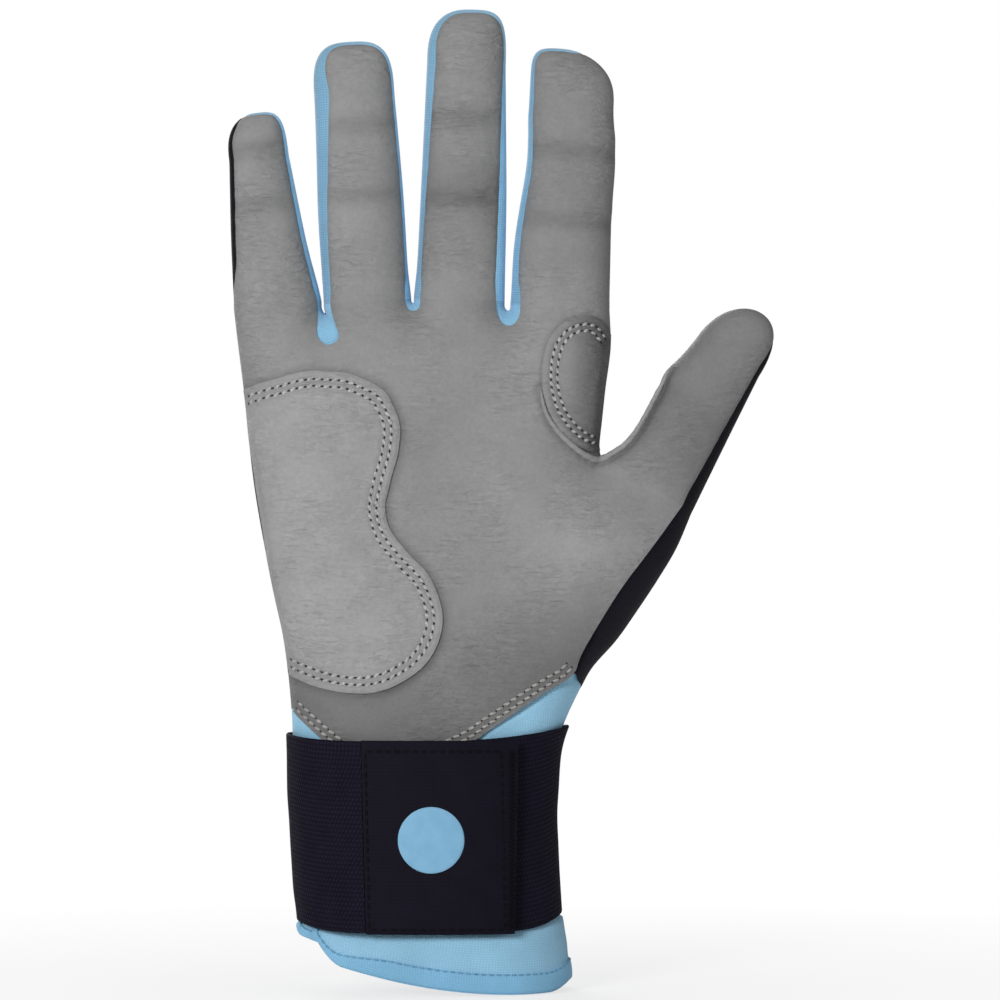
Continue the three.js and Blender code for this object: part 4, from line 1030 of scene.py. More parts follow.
palm_edge_left = rounded_line([palm_left_corner, (-29.4, 68.4), (-25.4, 65.0), (-19.0, 60.4), PALM_POINT],
                              OUTLINE_STEP)


def from_palm_edge(points):
    """How far plan points are from the pointed lower edge of the palm's leather."""
    return np.minimum(distance_to_line(points, palm_edge_right), distance_to_line(points, palm_edge_left))


def knuckle_points(digit, side):
    """The first row of a finger's panel, which the hand's panel shares."""
    return lower_row(digit, np.array([0.0, 1.0]), side)[0]


def hand_top(side):
    """The line along the four knuckles, from the little finger to the index finger, with its heights."""
    points, heights = [], []
    for k, digit in enumerate(fingers):
        row = knuckle_points(digit, side)
        if side > 0:
            row = row[row[:, 1] >= -0.01]
        points.append(row[:, [0, 2]])
        heights.append(row[:, 1])
        if k < len(crotches):
            edge = web_lines(crotches[k])[0 if side < 0 else 2][1:-1]
            points.append(edge)
            heights.append(np.full(len(edge), np.nan))
    return np.vstack(points), np.concatenate(heights)


def without_height(line):
    return line, np.full(len(line), np.nan)


def hand_panel(parts):
    """Joins parts of an outline and returns its points and the heights that are fixed."""
    points = np.vstack([p for p, _ in parts])
    heights = np.concatenate([h for _, h in parts])
    keep = np.ones(len(points), bool)
    keep[1:] = np.linalg.norm(np.diff(points, axis=0), axis=1) > 0.02
    keep[-1] &= np.linalg.norm(points[-1] - points[0]) > 0.02
    return points[keep], heights[keep]


def panel_surface(outline, fixed, side, rings, spacing, relief):
    points, faces = fill_outline(outline, rings, spacing)
    solid = hand_points(points, side)
    known = np.flatnonzero(~np.isnan(fixed))
    away = np.linalg.norm(points[:, None] - outline[known][None], axis=2)
    knuckles = away.min(1)
    step = (fixed - solid[:len(outline), 1])[known][away.argmin(1)]
    solid[:, 1] += step * (1 - smooth(knuckles, 0, 4)) + side * relief(points) * smooth(knuckles, 0.3, 5)
    return points, faces, solid


def trimmed(line):
    """The little-finger side of the leather: in its middle it stops short of the edge, so the back shows."""
    share = 0.3 * smooth(line[:, 1], 104, 120) * (1 - smooth(line[:, 1], 134, 150))
    return line + np.stack([22 * (1 - bulge(share)), 0 * share], axis=1)


ulnar_part = np.vstack([palm_left_corner, trimmed(ulnar_line[ulnar_line[:, 1] > PALM_LEFT + 0.3][::-1])])
top_points, top_heights = hand_top(-1)
thumb_row = knuckle_points(thumb, -1)
outline, fixed = hand_panel([
    without_height(ulnar_part), (top_points, top_heights), without_height(radial_line),
    (thumb_row[:, [0, 2]], thumb_row[:, 1]), without_height(even_line(leather_side[::-1], OUTLINE_STEP)),
    without_height(even_line(palm_edge_right, OUTLINE_STEP)),
    without_height(even_line(palm_edge_left[::-1], OUTLINE_STEP)[:-1]),
])


def palm_relief(points):
    """Height of the palm's leather over the plain hand: lumps, and its lower edge lying on the cuff."""
    x, z = points.T
    inside = smooth(outline_distance(points), 0.5, 6)
    lap = 1.1 * (1 - smooth(from_palm_edge(points), 5, 16)) * smooth(outline_distance(points), 0.0, 3.0)
    return (palm_lumps(x, z) + 0.5 * hump(z - 166, 7)) * inside + lap


# Painted light and shade on the palm's leather: darker towards the bottom and on the lower right, where it
# turns from the light, near the thumb's root and below each gap between the fingers; a painted shadow beside
# the edges of the heel pad and the patch and painted shade in the welt's crease; painted light on the ball of
# the thumb; lighter along the lower cut edge; and a slow random change.
def palm_light_and_shade(points):
    x, z = points.T
    tone = 1 - 0.41 * (1 - smooth(z, 64, 108)) - 0.05 * smooth(x, 15, 40) * (1 - smooth(z, 90, 118))
    tone = tone - 0.13 * hump(x - 25, 16) * hump(z - 95, 12)
    away = np.linalg.norm(points - thumb.centre, axis=1)
    tone = tone - 0.07 * (1 - smooth(away, 4, 18))
    for crotch in crotches:
        tone = tone - 0.10 * hump(x - crotch.centre[0], 6) * hump(z - crotch.centre[1] + 5, 8)
    tone = tone + 0.15 * hump(x - 47, 14) * hump(z - 115, 14)
    pad_edge_shadow = hump(distance_to_line(points, PAD_EDGE), 1.5)
    tone = tone - (0.2 + 0.16 * smooth(x, -16, -8)) * pad_edge_shadow
    tone = tone - 0.2 * hump(distance_to_line(points, PATCH_EDGE), 0.8) - 0.28 * welt_crease_shade(points)
    tone = tone + 0.14 * (1 - smooth(from_palm_edge(points), 0.5, 1.6))
    return tone * (1 + 0.05 * soft_noise(x, z, 14, 31))


RINGS = (0.12, 0.4, 0.8, 1.4, 2.2, 3.2)
points, faces, solid = panel_surface(outline, fixed, -1, RINGS, 1.15, palm_relief)
palm = make_piece("leather_palm", solid, faces, points, palm_light_and_shade(points), leather, LEATHER, HAND_INSIDE)
tie(palm, "hand", "grey_leather", "palm_leather")
print("palm triangles:", len(faces))

# %% Back of the hand
back_points, back_heights = hand_top(1)
thumb_back = knuckle_points(thumb, 1)
thumb_back = thumb_back[thumb_back[:, 1] >= -0.01]
BACK_BOTTOM = 60.0


def tucked(line, inward):
    """A side line of the back panel: below the leather's corners it goes in behind the cuff."""
    line = line[line[:, 1] >= BACK_BOTTOM]
    low = PALM_LEFT if inward > 0 else 77.0
    moved = inward * 1.4 * (1 - smooth(line[:, 1], low - 4, low + 1.5))
    return line + np.stack([moved, 0 * moved], axis=1)


outline, fixed = hand_panel([
    without_height(tucked(ulnar_line, 1.0)[::-1]), (back_points, back_heights), without_height(radial_line),
    (thumb_back[:, [0, 2]], thumb_back[:, 1]), without_height(tucked(thenar_line, -1.0)),
])


def back_relief(points):
    x, z = points.T
    knuckles = sum(0.9 * hump(x - d.centre[0], 7) * hump(z - 168, 8) for d in fingers)
    lumps = 0.35 * soft_noise(x, z, 13, 41) + 0.25 * soft_noise(x * 0.6, z * 1.8, 5, 42) + knuckles
    return lumps * smooth(outline_distance(points), 0.5, 6)


points, faces, solid = panel_surface(outline, fixed, 1, RINGS, 1.3, back_relief)
# The back panel is drawn lighter as painted light.
back = make_piece("navy_back_of_hand", solid, faces, points[:, ::-1], BACK_PAINTED_LIGHT, navy_knit, CLOTH,
                  HAND_INSIDE)
tie(back, "hand", "navy_cloth", "back_panel")

# %% Side of the thumb base
outer_part = even_line(thenar_line[thenar_line[:, 1] >= 78.4], 0.9)[::-1]
inner_part = np.stack([np.interp(np.linspace(0, 1, len(outer_part)), np.linspace(0, 1, len(leather_side)),
                                 leather_side[:, k]) for k in (0, 1)], axis=1)
shares = 1 - (1 - np.linspace(0, 1, 15)) ** 2
grid = np.stack([hand_points(lerp(inner_part, outer_part, q), -1) for q in shares], axis=1)
side_panel = finish_panel(thumb, "navy_thumb_side", grid, 0, navy_knit, (40, 0, 105), CLOTH, True)
tie(side_panel, "hand", "navy_cloth", "thumb_side_panel")
beside = ulnar_line[(ulnar_line[:, 1] > 104) & (ulnar_line[:, 1] < 150)]
shares = np.linspace(0, 1, 7) ** 2
grid = np.stack([hand_points(lerp(beside, trimmed(beside), q), -1) for q in shares], axis=1)
palm_edge = grid_piece("navy_palm_edge", grid, 1.0, navy_knit, CLOTH, HAND_INSIDE)
tie(palm_edge, "hand", "navy_cloth")
print("hand panels made")

# %% [markdown]
# ## Pads sewn on the palm
#
# The heel pad is a second layer of leather over a thin foam sheet. Its cut edge stands up by the thickness
# of the leather, two rows of stitching pull it down, and the foam crowns the middle. The patch at the base
# of the index finger is made in the same way. Both keep to the palm's own surface, lifted, and go down to
# the seam at the edge of the hand.

# %% Pads
def pad_lift(points, edge, side_line, foam, crown_start, crown_end, rows):
    """Height of a pad over the palm: cut edge, stitch rows and crown, going down to the side seam."""
    e = distance_to_line(points, edge)
    lift = 0.55 + 0.45 * smooth(e, 0, 0.9)
    for row in rows:
        lift = lift - 0.38 * hump(e - row, 0.55)
    lift = lift + 0.18 * hump(e - sum(rows) / len(rows), 0.45)
    lift = lift + foam * smooth(e, crown_start, crown_end)
    lift = lift + 0.12 * soft_noise(points[:, 0], points[:, 1], 9, 51) * smooth(e, 4, 9)
    return lerp(0.06, lift, smooth(distance_to_line(points, side_line), 0.0, 3.5))


# Painted light and shade on a pad: darker near its cut edge and in its stitch grooves, with a painted
# highlight along the raised cut edge.
def pad_light_and_shade(points, edge, rows, inside_light_and_shade):
    e = distance_to_line(points, edge)
    tone = lerp(inside_light_and_shade * 0.93, inside_light_and_shade, smooth(e, 3.5, 6.0))
    for row in rows:
        tone = tone - 0.10 * hump(e - row, 0.5)
    return tone + 0.07 * hump(e - 0.5, 0.5)


def palm_surface(plan):
    return np.stack([plan[:, 0], -hand_depth(plan, -1) - palm_relief(plan), plan[:, 1]], axis=1)


def point_normals(points, faces, inside):
    """Unit normals at the points of a triangle mesh, away from a point inside."""
    faces = np.asarray(faces)
    a, b, c = (points[faces[:, k]] for k in range(3))
    flat = np.cross(b - a, c - a)
    total = np.zeros(points.shape)
    for k in range(3):
        np.add.at(total, faces[:, k], flat)
    total *= np.sign(((points - np.asarray(inside)) * total).sum())
    return total / np.maximum(1e-12, np.linalg.norm(total, axis=1, keepdims=True))


def sewn_pad(name, edge, side_line, foam, crown, rows, rings, inside_light_and_shade):
    outline = np.vstack([even_line(edge, 0.6), side_line[1:-1]])
    points, faces = fill_outline(outline, rings, 1.1)
    lift = pad_lift(points, edge, side_line, foam, *crown, rows)
    bed = palm_surface(points)
    solid = bed + point_normals(bed, faces, HAND_INSIDE) * lift[:, None]
    tone = pad_light_and_shade(points, edge, rows, inside_light_and_shade(points[:, 0]))
    return make_piece(name, solid, faces, points, tone, leather, 0.8, HAND_INSIDE, crisp=60)


HEEL_ROWS = (2.2, 4.0)
PATCH_ROWS = (2.3, 3.9)
pad_rings = (0.15, 0.45, 0.9, 1.3, 1.75, 2.2, 2.65, 3.1, 3.55, 4.0, 4.5, 5.2, 6.0)
heel_side = trimmed(ulnar_line[(ulnar_line[:, 1] > PAD_BOTTOM) & (ulnar_line[:, 1] < PAD_TOP)])
heel_side = heel_side[np.argsort(heel_side[:, 1])]
heel_shape = (PAD_EDGE, heel_side, 1.0, (4.8, 13.0), HEEL_ROWS)
# The heel pad is drawn lighter than the palm: painted light on the raised pad.
heel_pad = sewn_pad("leather_heel_pad", *heel_shape, pad_rings, lambda x: 1.22 + 0 * x)
tie(heel_pad, "hand", "grey_leather", "heel_pad")
patch_side = radial_line[(radial_line[:, 1] > PATCH_BOTTOM) & (radial_line[:, 1] < PATCH_TOP)]
patch_side = patch_side[np.argsort(patch_side[:, 1])]
patch_rings = (0.15, 0.45, 0.9, 1.5, 1.9, 2.3, 2.7, 3.1, 3.5, 3.9, 4.3, 5.0)
patch_shape = (PATCH_EDGE, patch_side, 0.35, (4.8, 8.0), PATCH_ROWS)
# The patch darkens towards its right side: painted shade where it turns away from the light.
patch = sewn_pad("leather_crotch_patch", *patch_shape, patch_rings,
                 lambda x: lerp(0.98, 0.52, smooth(x, 34, 46)))
tie(patch, "hand", "grey_leather", "crotch_patch")

# %% Foam under the heel pad
foam_edge = rounded_line([(-34.0, 148.0), (-22.0, 150.0), (-15.0, 146.0), (-15.5, 136.0), (-19.5, 125.0),
                          (-14.0, 113.0), (-7.0, 104.0), (-5.5, 95.0), (-12.0, 88.0), (-22.0, 88.0),
                          (-28.0, 94.0), (-31.5, 112.0), (-34.5, 130.0), (-34.0, 148.0)], 1.0)[:-1]
points, faces = fill_outline(foam_edge, (0.3, 0.9, 1.8), 2.0)
solid = palm_surface(points) - [0, 0.75, 0]
foam = make_piece("foam_heel_pad", solid, faces, points, 1.0, pad_foam, 0.6, HAND_INSIDE)
tie(foam, "hand", "pad_foam", "heel_pad_foam")
print("pads made")

# %% [markdown]
# ## Cuff
#
# The cuff is a loose band of knit in two parts, palm and back. They are sewn together on the thumb side and
# left open in a slit on the little-finger side. A folded tape binds the hem. The cuff's upper part lies under
# the leather and the strap.

# %% Cuff and hem
def wave(value):
    return np.sign(value) * np.abs(value) ** (2 / ROUNDNESS)


def wrist_sides(height, grow):
    """Left and right ends of the wrist at a height. grow lifts the surface."""
    return x_at(ulnar_line, height) - grow, x_at(thenar_line, height) + grow


def wrist_points(degrees, height, grow):
    """Points round the wrist: 0 degrees is the thumb side, 90 the back, 180 the little-finger side."""
    degrees, height = np.broadcast_arrays(np.asarray(degrees, float), np.asarray(height, float))
    left, right = wrist_sides(height, grow)
    angle = np.radians(degrees)
    x = lerp(left, right, (1 + wave(np.cos(angle))) / 2)
    oval = wave(np.sin(angle)) * (WRIST_HALF_DEPTH + grow)
    flat = np.stack([x.ravel(), height.ravel()], axis=1)
    grown = np.broadcast_to(np.asarray(grow, float), x.shape).ravel()
    hand = np.where(np.sin(angle.ravel()) < 0, -hand_depth(flat, -1, grown), hand_depth(flat, 1, grown))
    y = lerp(oval, hand.reshape(x.shape), smooth(height, 62, 74))
    return np.stack([x, y, height], axis=-1)


SLIT_X = 28.4
HEM_HEIGHT = 5.4
HEM_END = 2.6


def strap_low(sideways):
    return 16.0 + np.where(sideways > 0, 3.8 * np.abs(sideways) ** 6, 1.9 * np.abs(sideways) ** 4.5)


def strap_high(sideways):
    return 65.2 + np.where(sideways > 0, 3.2 * np.abs(sideways) ** 2.4, 1.2 * np.abs(sideways) ** 4)


def cuff_grow(degrees, height):
    """How far the cuff stands off the wrist: tight under the strap, free below it and flush above it."""
    across = np.cos(np.radians(degrees))
    thumb_side = lerp(2.1, 1.2, smooth(height, 2, 19)) * smooth(across, -0.7, 1)
    loose = 0.2 + thumb_side + 0.9 * smooth(-across, 0.3, 1)
    loose = loose + 0.25 * np.sin(np.radians(degrees) * 5 + 0.8)
    loose = loose + 0.25 * soft_noise(degrees / 6, height, 6, 61)
    low = strap_low(wave(across))
    grow = lerp(loose, -1.2, smooth(height, low - 1.6, low + 0.8))
    return lerp(grow, -0.1, smooth(height, 60, 67))


def palm_hem(x):
    corner = np.maximum(0, (6 - SLIT_X - x) / 6)
    thumb_corner = np.maximum(0, (x - 28.5) / 5.0)
    return 8.8 * ((x - 22) / (SLIT_X + 22)) ** 2 + 4.6 * corner ** 2 + 2.2 * thumb_corner ** 2


def back_hem(x):
    slope = lerp(2.4, 13.5, np.clip((WRIST_HALF_WIDTH - x) / (2 * WRIST_HALF_WIDTH), 0, 1))
    return slope + 2.6 * (1 - np.sqrt(1 - np.clip((-x - 30.4) / 3.2, 0, 1) ** 2))


def palm_degrees(x, half):
    """The turn round an oval of this half width at which its palm side is this far from its middle."""
    share = np.clip(x / half, -1, 1)
    return 360 - np.degrees(np.arccos(np.sign(share) * np.abs(share) ** (ROUNDNESS / 2)))


def slit_at(height):
    return lerp(palm_degrees(-SLIT_X, WRIST_HALF_WIDTH - 1.2), 156, smooth(height, 18, 60))


def back_end(height):
    """Where the back part ends: below the strap it goes on a little under the palm part."""
    return slit_at(height) + 7 * (1 - smooth(height, 14, 22)) - 1.0


def cuff_top(x):
    """Top of the cuff's palm part: it goes a seam's width up under the leather's pointed edge."""
    edge = np.vstack([palm_edge_left, palm_edge_right[::-1]])
    return np.minimum(82.0, np.interp(x, edge[:, 0], edge[:, 1]) + 7.0)


def cuff_grid(first, last, columns, hem, heights, rows, under, sunk):
    grid = []
    for share in np.linspace(0, 1, rows + 1):
        turn = lerp(first(share), last(share), np.linspace(0, 1, columns + 1))
        x = wave(np.cos(np.radians(turn))) * WRIST_HALF_WIDTH
        height = lerp(hem(x), heights(x), share)
        from_top = height - heights(x) - 3 * smooth(x, 20, 30)
        covered = under * smooth(turn, 192, 204) + sunk * smooth(from_top, -6.4, -4.6)
        grid.append(wrist_points(turn, height, cuff_grow(turn, height) - covered))
    return np.array(grid)


BACK_TOP = 63.0
HEM_INSIDE = (2, 0, 5)
PALM_TOP = 75.0
hem_seams = []
cuff_specs = (
    ("palm", lambda s: slit_at(s * PALM_TOP), lambda s: 360 + 26 * smooth(s * PALM_TOP, 54, 64), 150,
     palm_hem, cuff_top, 0.0),
    ("back", lambda s: 0.0, lambda s: back_end(s * BACK_TOP), 190,
     back_hem, lambda x: BACK_TOP + 0 * x, 1.4),
)
for word, first, last, columns, hem, top, under in cuff_specs:
    grid = cuff_grid(first, last, columns, hem, top, 60, under, 1.2)
    # Painted light: the cuff is lighter from the strap's top upwards, where the strap and the leather shade
    # it.
    tone = 1 + 0.12 * smooth(grid[..., 2], 60, 68)
    piece = grid_piece(f"blue_cuff_{word}", grid, tone, cuff_knit, 1.0, WRIST_INSIDE)
    tie(piece, "hand", "blue_cloth", f"cuff_{word}")
    tape = cuff_grid(lambda s: first(0), lambda s: last(0), columns, hem,
                     lambda x: hem(x) + lerp(HEM_HEIGHT, HEM_END, smooth(-x, 8, 30)), 14, under, 0.0)
    rise = np.linspace(0, 1, 15)[:, None]
    swell = 0.25 + 0.35 * bulge(2 * rise - 1) + 0.06 * soft_noise(tape[..., 0] * 2, tape[..., 2], 3.5, 62)
    swell = swell - 0.55 * hump(rise, 0.05) - 0.35 * hump(rise - 1, 0.06)
    tape = tape + outward_normals(tape, HEM_INSIDE) * swell[..., None]
    hem_seams.append(tape[-2])
    piece = grid_piece(f"blue_hem_{word}", tape, 1.0, binding_knit, 0.7, HEM_INSIDE)
    tie(piece, "hand", "blue_binding", f"hem_{word}")
print("cuff made")

# %% [markdown]
# ## Wrist strap and tab
#
# The strap is a 50 mm elastic. It starts under the tab, goes round the thumb side, the back and the
# little-finger side, climbs over its own start and carries on as the tab. The tab lies on a patch of loops,
# held by the hooks under it. The tab is cut straight, so its lower corner hangs a little below the strap.

# %% Strap
STRAP_OUTER, LOOP_OUTER, HOOK_OUTER, TAB_OUTER = 1.5, 2.4, 3.3, 4.8
TAB_LOW, TAB_HIGH = 15.8, 65.4
TAB_LEFT = (-14.3, -15.5)
TAB_RIGHT = (23.8, 24.8)


def strap_points(degrees, share, grow):
    """Points on the strap: round the wrist by degrees, up it by a share of its width."""
    angle = np.radians(degrees)
    sideways = wave(np.cos(angle))
    height = lerp(strap_low(sideways), strap_high(sideways), share)
    left, right = wrist_sides(height, grow)
    x = lerp(left, right, (1 + sideways) / 2)
    return np.stack([x, wave(np.sin(angle)) * (WRIST_HALF_DEPTH + grow), height], axis=-1)


def front_points(plan, grow):
    """Points on the palm side of the wrist's oval, given in the plan."""
    x, height = plan[..., 0], plan[..., 1]
    left, right = wrist_sides(height, grow)
    y = -(WRIST_HALF_DEPTH + grow) * bulge((x - (left + right) / 2) / ((right - left) / 2))
    return np.stack([x, y, height], axis=-1)


def edge_drop(share):
    """A band's long edges are rounded: the drop near them, in millimetres."""
    return 0.4 * (1 - bulge(np.clip((np.abs(2 * share - 1) - 0.97) / 0.03, 0, 1)))


rounded_edge = np.array([0, 0.004, 0.012, 0.022])
strap_shares = np.concatenate([rounded_edge, np.linspace(0.03, 0.97, 36), 1 - rounded_edge[::-1]])
patch_start = palm_degrees(-8.5, WRIST_HALF_WIDTH + HOOK_OUTER)
patch_end = palm_degrees(22.5, WRIST_HALF_WIDTH + HOOK_OUTER)
rows = []
for share in strap_shares:
    height = lerp(TAB_LOW, TAB_HIGH, share)
    left, right = wrist_sides(height, TAB_OUTER)
    last = palm_degrees(lerp(*TAB_LEFT, share) - 0.15 - (left + right) / 2, (right - left) / 2)
    turns = np.linspace(patch_start - 361, last, 260)
    grow = lerp(STRAP_OUTER, TAB_OUTER, smooth(turns, 195, last)) - edge_drop(share)
    rows.append(strap_points(turns, share, grow + 0.15 * soft_noise(turns / 5, share * 40, 7, 71)))
strap = grid_piece("elastic_wrist_strap", np.array(rows), 1.0, elastic, 1.1, WRIST_INSIDE, turned=True)
tie(strap, "hand", "elastic_web", "wrist_strap")
for name, grow, body, node in (("loop_patch_strip", LOOP_OUTER, "hand", "loop_patch"),
                               ("hook_patch_strip", HOOK_OUTER, "strap_tab_body", "hook_patch")):
    turns = np.linspace(patch_start, patch_end, 50)
    grid = np.array([strap_points(turns, share, grow) for share in np.linspace(0.1, 0.9, 24)])
    piece = grid_piece(name, grid, 1.0, hook_nylon, 0.6, WRIST_INSIDE)
    tie(piece, body, "hook_and_loop", node)
plan = np.array([np.stack([np.linspace(lerp(*TAB_LEFT, share), lerp(*TAB_RIGHT, share), 70),
                           np.full(70, lerp(TAB_LOW, TAB_HIGH, share))], axis=1) for share in strap_shares])
drop = edge_drop(strap_shares)[:, None] + 0.12 * soft_noise(plan[..., 0], plan[..., 1], 9, 72)
grid = front_points(plan, TAB_OUTER - drop)
tab = grid_piece("coated_strap_tab", grid, 1.0, tab_cloth, 1.1, WRIST_INSIDE, turned=True)
tie(tab, "strap_tab_body", "tab_cloth", "strap_tab")
print("strap and tab made")

# %% [markdown]
# A plain round mark of printed rubber sits in the middle of the tab: a low dome that follows the tab's curve.

# %% Plain mark on the tab
MARK_CENTRE = np.array([2.4, 40.0])
MARK_RADIUS = 8.5
reach = MARK_RADIUS * np.array([0.0, 0.2, 0.4, 0.6, 0.75, 0.86, 0.93, 0.975, 1.0, 1.0])
raised = np.array([0.45, 0.45, 0.45, 0.44, 0.43, 0.42, 0.38, 0.3, 0.15, -0.3])
spin = np.linspace(0, math.tau, 65)
plan = MARK_CENTRE + reach[:, None, None] * np.stack([np.cos(spin), np.sin(spin)], axis=1)[None]
grid = front_points(plan, TAB_OUTER + raised[:, None])
mark = make_piece("plain_round_mark", grid, grid_faces(*grid.shape[:2]), plan, 1.0, rubber_mark, 0.0,
                  WRIST_INSIDE)
tie(mark, "strap_tab_body", "tab_cloth")

# %% [markdown]
# ## Stitches
#
# A stitch is a short bead of thread that dips into a needle hole at both ends; each hole is a small dark bead
# of painted shade. One bead is modelled as a stretched ball, and then copied along each row with its own
# direction. Rows that belong together become one mesh, so the scene stays light.

# %% Stitch helpers
bpy.ops.object.select_all(action="DESELECT")
bpy.ops.mesh.primitive_uv_sphere_add(segments=8, ring_count=6, radius=0.5)
bead = bpy.context.active_object
bead_points = np.array([v.co for v in bead.data.vertices])[:, [2, 0, 1]]
bead_faces = [tuple(p.vertices) for p in bead.data.polygons]
bpy.data.objects.remove(bead)


def place_beads(name, centres, directions, normals, sizes, material):
    """Copies the bead to every centre: its long way lies along the direction, its height along the normal."""
    directions = directions / np.linalg.norm(directions, axis=1, keepdims=True)
    across = np.cross(normals, directions)
    across /= np.linalg.norm(across, axis=1, keepdims=True)
    up = np.cross(directions, across)
    shaped = bead_points * np.asarray(sizes)
    axes = np.stack([directions, across, up], axis=1)
    points = (centres[:, None] + shaped @ axes).reshape(-1, 3)
    count = len(bead_points)
    faces = [tuple(k + count * n for k in face) for n in range(len(centres)) for face in bead_faces]
    mesh = bpy.data.meshes.new(name)
    mesh.from_pydata((points * MM).tolist(), [], faces)
    mesh.materials.append(material)
    made = show(name, mesh)
    bpy.ops.object.shade_smooth()
    return made


def inset_line(line, distance, toward):
    """A line moved sideways by this distance, towards a point."""
    ahead = np.gradient(line, axis=0)
    normal = np.stack([-ahead[:, 1], ahead[:, 0]], axis=1)
    normal /= np.linalg.norm(normal, axis=1, keepdims=True)
    if ((np.asarray(toward) - line) * normal).sum() < 0:
        normal = -normal
    moved = line + normal * distance
    keep = distance_to_line(moved, line) > 0.9 * distance
    return moved[keep]


def surface_frame(surface, plan):
    """Points and outward normals of a surface given as a function of plan points."""
    step = 0.2
    here = surface(plan)
    right = surface(plan + [step, 0]) - surface(plan - [step, 0])
    up = surface(plan + [0, step]) - surface(plan - [0, step])
    normal = np.cross(up, right)
    normal /= np.linalg.norm(normal, axis=1, keepdims=True)
    normal *= np.where(normal[:, 1:2] * here[:, 1:2] < 0, -1, 1)
    return here, normal


def stitch_row(line, pitch, surface, slant=0.0):
    """Bead centres, directions and normals, and the needle holes between them, along a plan line. Thread that
    was drawn tight lies at a slant to its row, given in degrees."""
    holes_plan = even_line(line, pitch)
    holes, hole_normals = surface_frame(surface, holes_plan)
    middles, normals = surface_frame(surface, (holes_plan[:-1] + holes_plan[1:]) / 2)
    ahead = np.diff(holes, axis=0)
    angle = math.radians(slant)
    turned = math.cos(angle) * ahead + math.sin(angle) * np.cross(normals, ahead)
    return middles, turned, normals, holes, hole_normals


def sew(name, rows, bead_size, thread, body, hole_size=None, rise=0.1):
    """Makes the beads of some stitch rows, and dark beads of painted shade in their needle holes where a size
    for these is given.
    """
    middles = np.vstack([r[0] for r in rows])
    directions = np.vstack([r[1] for r in rows])
    normals = np.vstack([r[2] for r in rows])
    beads = place_beads(name, middles + normals * rise, directions, normals, bead_size, thread)
    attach(beads, body)
    if hole_size:
        holes = np.vstack([r[3] for r in rows])
        hole_normals = np.vstack([r[4] for r in rows])
        ahead = np.vstack([np.gradient(r[3], axis=0) for r in rows])
        raised = holes + hole_normals * 0.02
        dark = place_beads(name + "_holes", raised, ahead, hole_normals, hole_size, hole_shade)
        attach(dark, body)
    print(name, "stitches:", len(middles))


# %% Stitch rows on the palm
def pad_surface(edge, side_line, foam, crown, rows):
    def surface(plan):
        bed, normal = surface_frame(palm_surface, plan)
        return bed + normal * pad_lift(plan, edge, side_line, foam, *crown, rows)[:, None]
    return surface


heel_surface = pad_surface(*heel_shape)
heel_rows = []
for row in HEEL_ROWS:
    line = inset_line(PAD_EDGE, row, (-28.0, 118.0))
    line = line[outline_distance(line) > 1.5]
    heel_rows.append(stitch_row(line, 2.15, heel_surface, 27))
sew("thread_heel_pad", heel_rows, (1.75, 0.98, 0.64), grey_thread, "hand",
    (0.95, 0.72, 0.34), rise=0.14)
patch_surface = pad_surface(*patch_shape)
patch_rows = []
for row in PATCH_ROWS:
    line = inset_line(PATCH_EDGE, row, (44.0, 156.0))
    line = line[outline_distance(line) > 1.2]
    patch_rows.append(stitch_row(line, 2.0, patch_surface, 27))
sew("thread_crotch_patch", patch_rows, (1.55, 0.9, 0.54), grey_thread, "hand",
    (0.95, 0.66, 0.34))
edge_rows = []
for whole, slant in ((palm_edge_right, -14), (palm_edge_left, 14)):
    for row in (1.4, 3.1):
        line = inset_line(whole, row, (0.0, 110.0))
        line = line[(line[:, 1] > 60) & (outline_distance(line) > 1.2)]
        edge_rows.append(stitch_row(line, 2.2, palm_surface, slant))
sew("thread_palm_edge", edge_rows, (1.9, 0.85, 0.6), pale_thread, "hand", (0.5, 0.5, 0.3))

# %% Stitch rows on the tab and the hem
def tab_surface(plan):
    return front_points(plan, TAB_OUTER)


box_low, box_high = 17.0, 62.6
box_left = [(lerp(*TAB_LEFT, 0.05) + 1.0, box_low), (lerp(*TAB_LEFT, 0.95) + 1.0, box_high)]
box_right = [(21.4, box_low), (20.4, box_high)]
tab_rows = []
for a, b in ((box_left[0], box_left[1]), (box_left[1], box_right[1]), (box_right[1], box_right[0]),
             (box_right[0], box_left[0])):
    tab_rows.append(stitch_row(np.array([a, b], float), 2.4, tab_surface))
zigzag = [(22.0 + 1.9 * (k % 2) + 0.2 * (k / 86), box_low + (box_high - box_low) * k / 86) for k in range(87)]
zigzag = np.array(zigzag)
holes, hole_normals = surface_frame(tab_surface, zigzag)
middles, normals = surface_frame(tab_surface, (zigzag[:-1] + zigzag[1:]) / 2)
sew("thread_tab", tab_rows, (1.7, 0.5, 0.36), navy_thread, "strap_tab_body")
sew("thread_tab_end", [(middles, np.diff(holes, axis=0), normals)], (2.0, 0.36, 0.34), navy_thread,
    "strap_tab_body")
hem_rows = []
for seam in hem_seams:
    places = even_line(seam, 2.0)
    middles = (places[:-1] + places[1:]) / 2
    away = middles - [2.0, 0.0, 0.0]
    away[:, 2] = 0
    hem_rows.append((middles, np.diff(places, axis=0), away / np.linalg.norm(away, axis=1, keepdims=True)))
sew("thread_hem", hem_rows, (1.5, 0.55, 0.4), blue_thread, "hand", rise=0.12)

# %% [markdown]
# ## Welt at the base of the thumb
#
# Where the patch and the thumb meet, the leather edges are rolled into a thin rope that runs along the
# patch, round the crotch and up the inner side of the thumb. It is a tube swept along a line on the
# surface, cut at the thumb's knuckle and at its fold into three pieces.

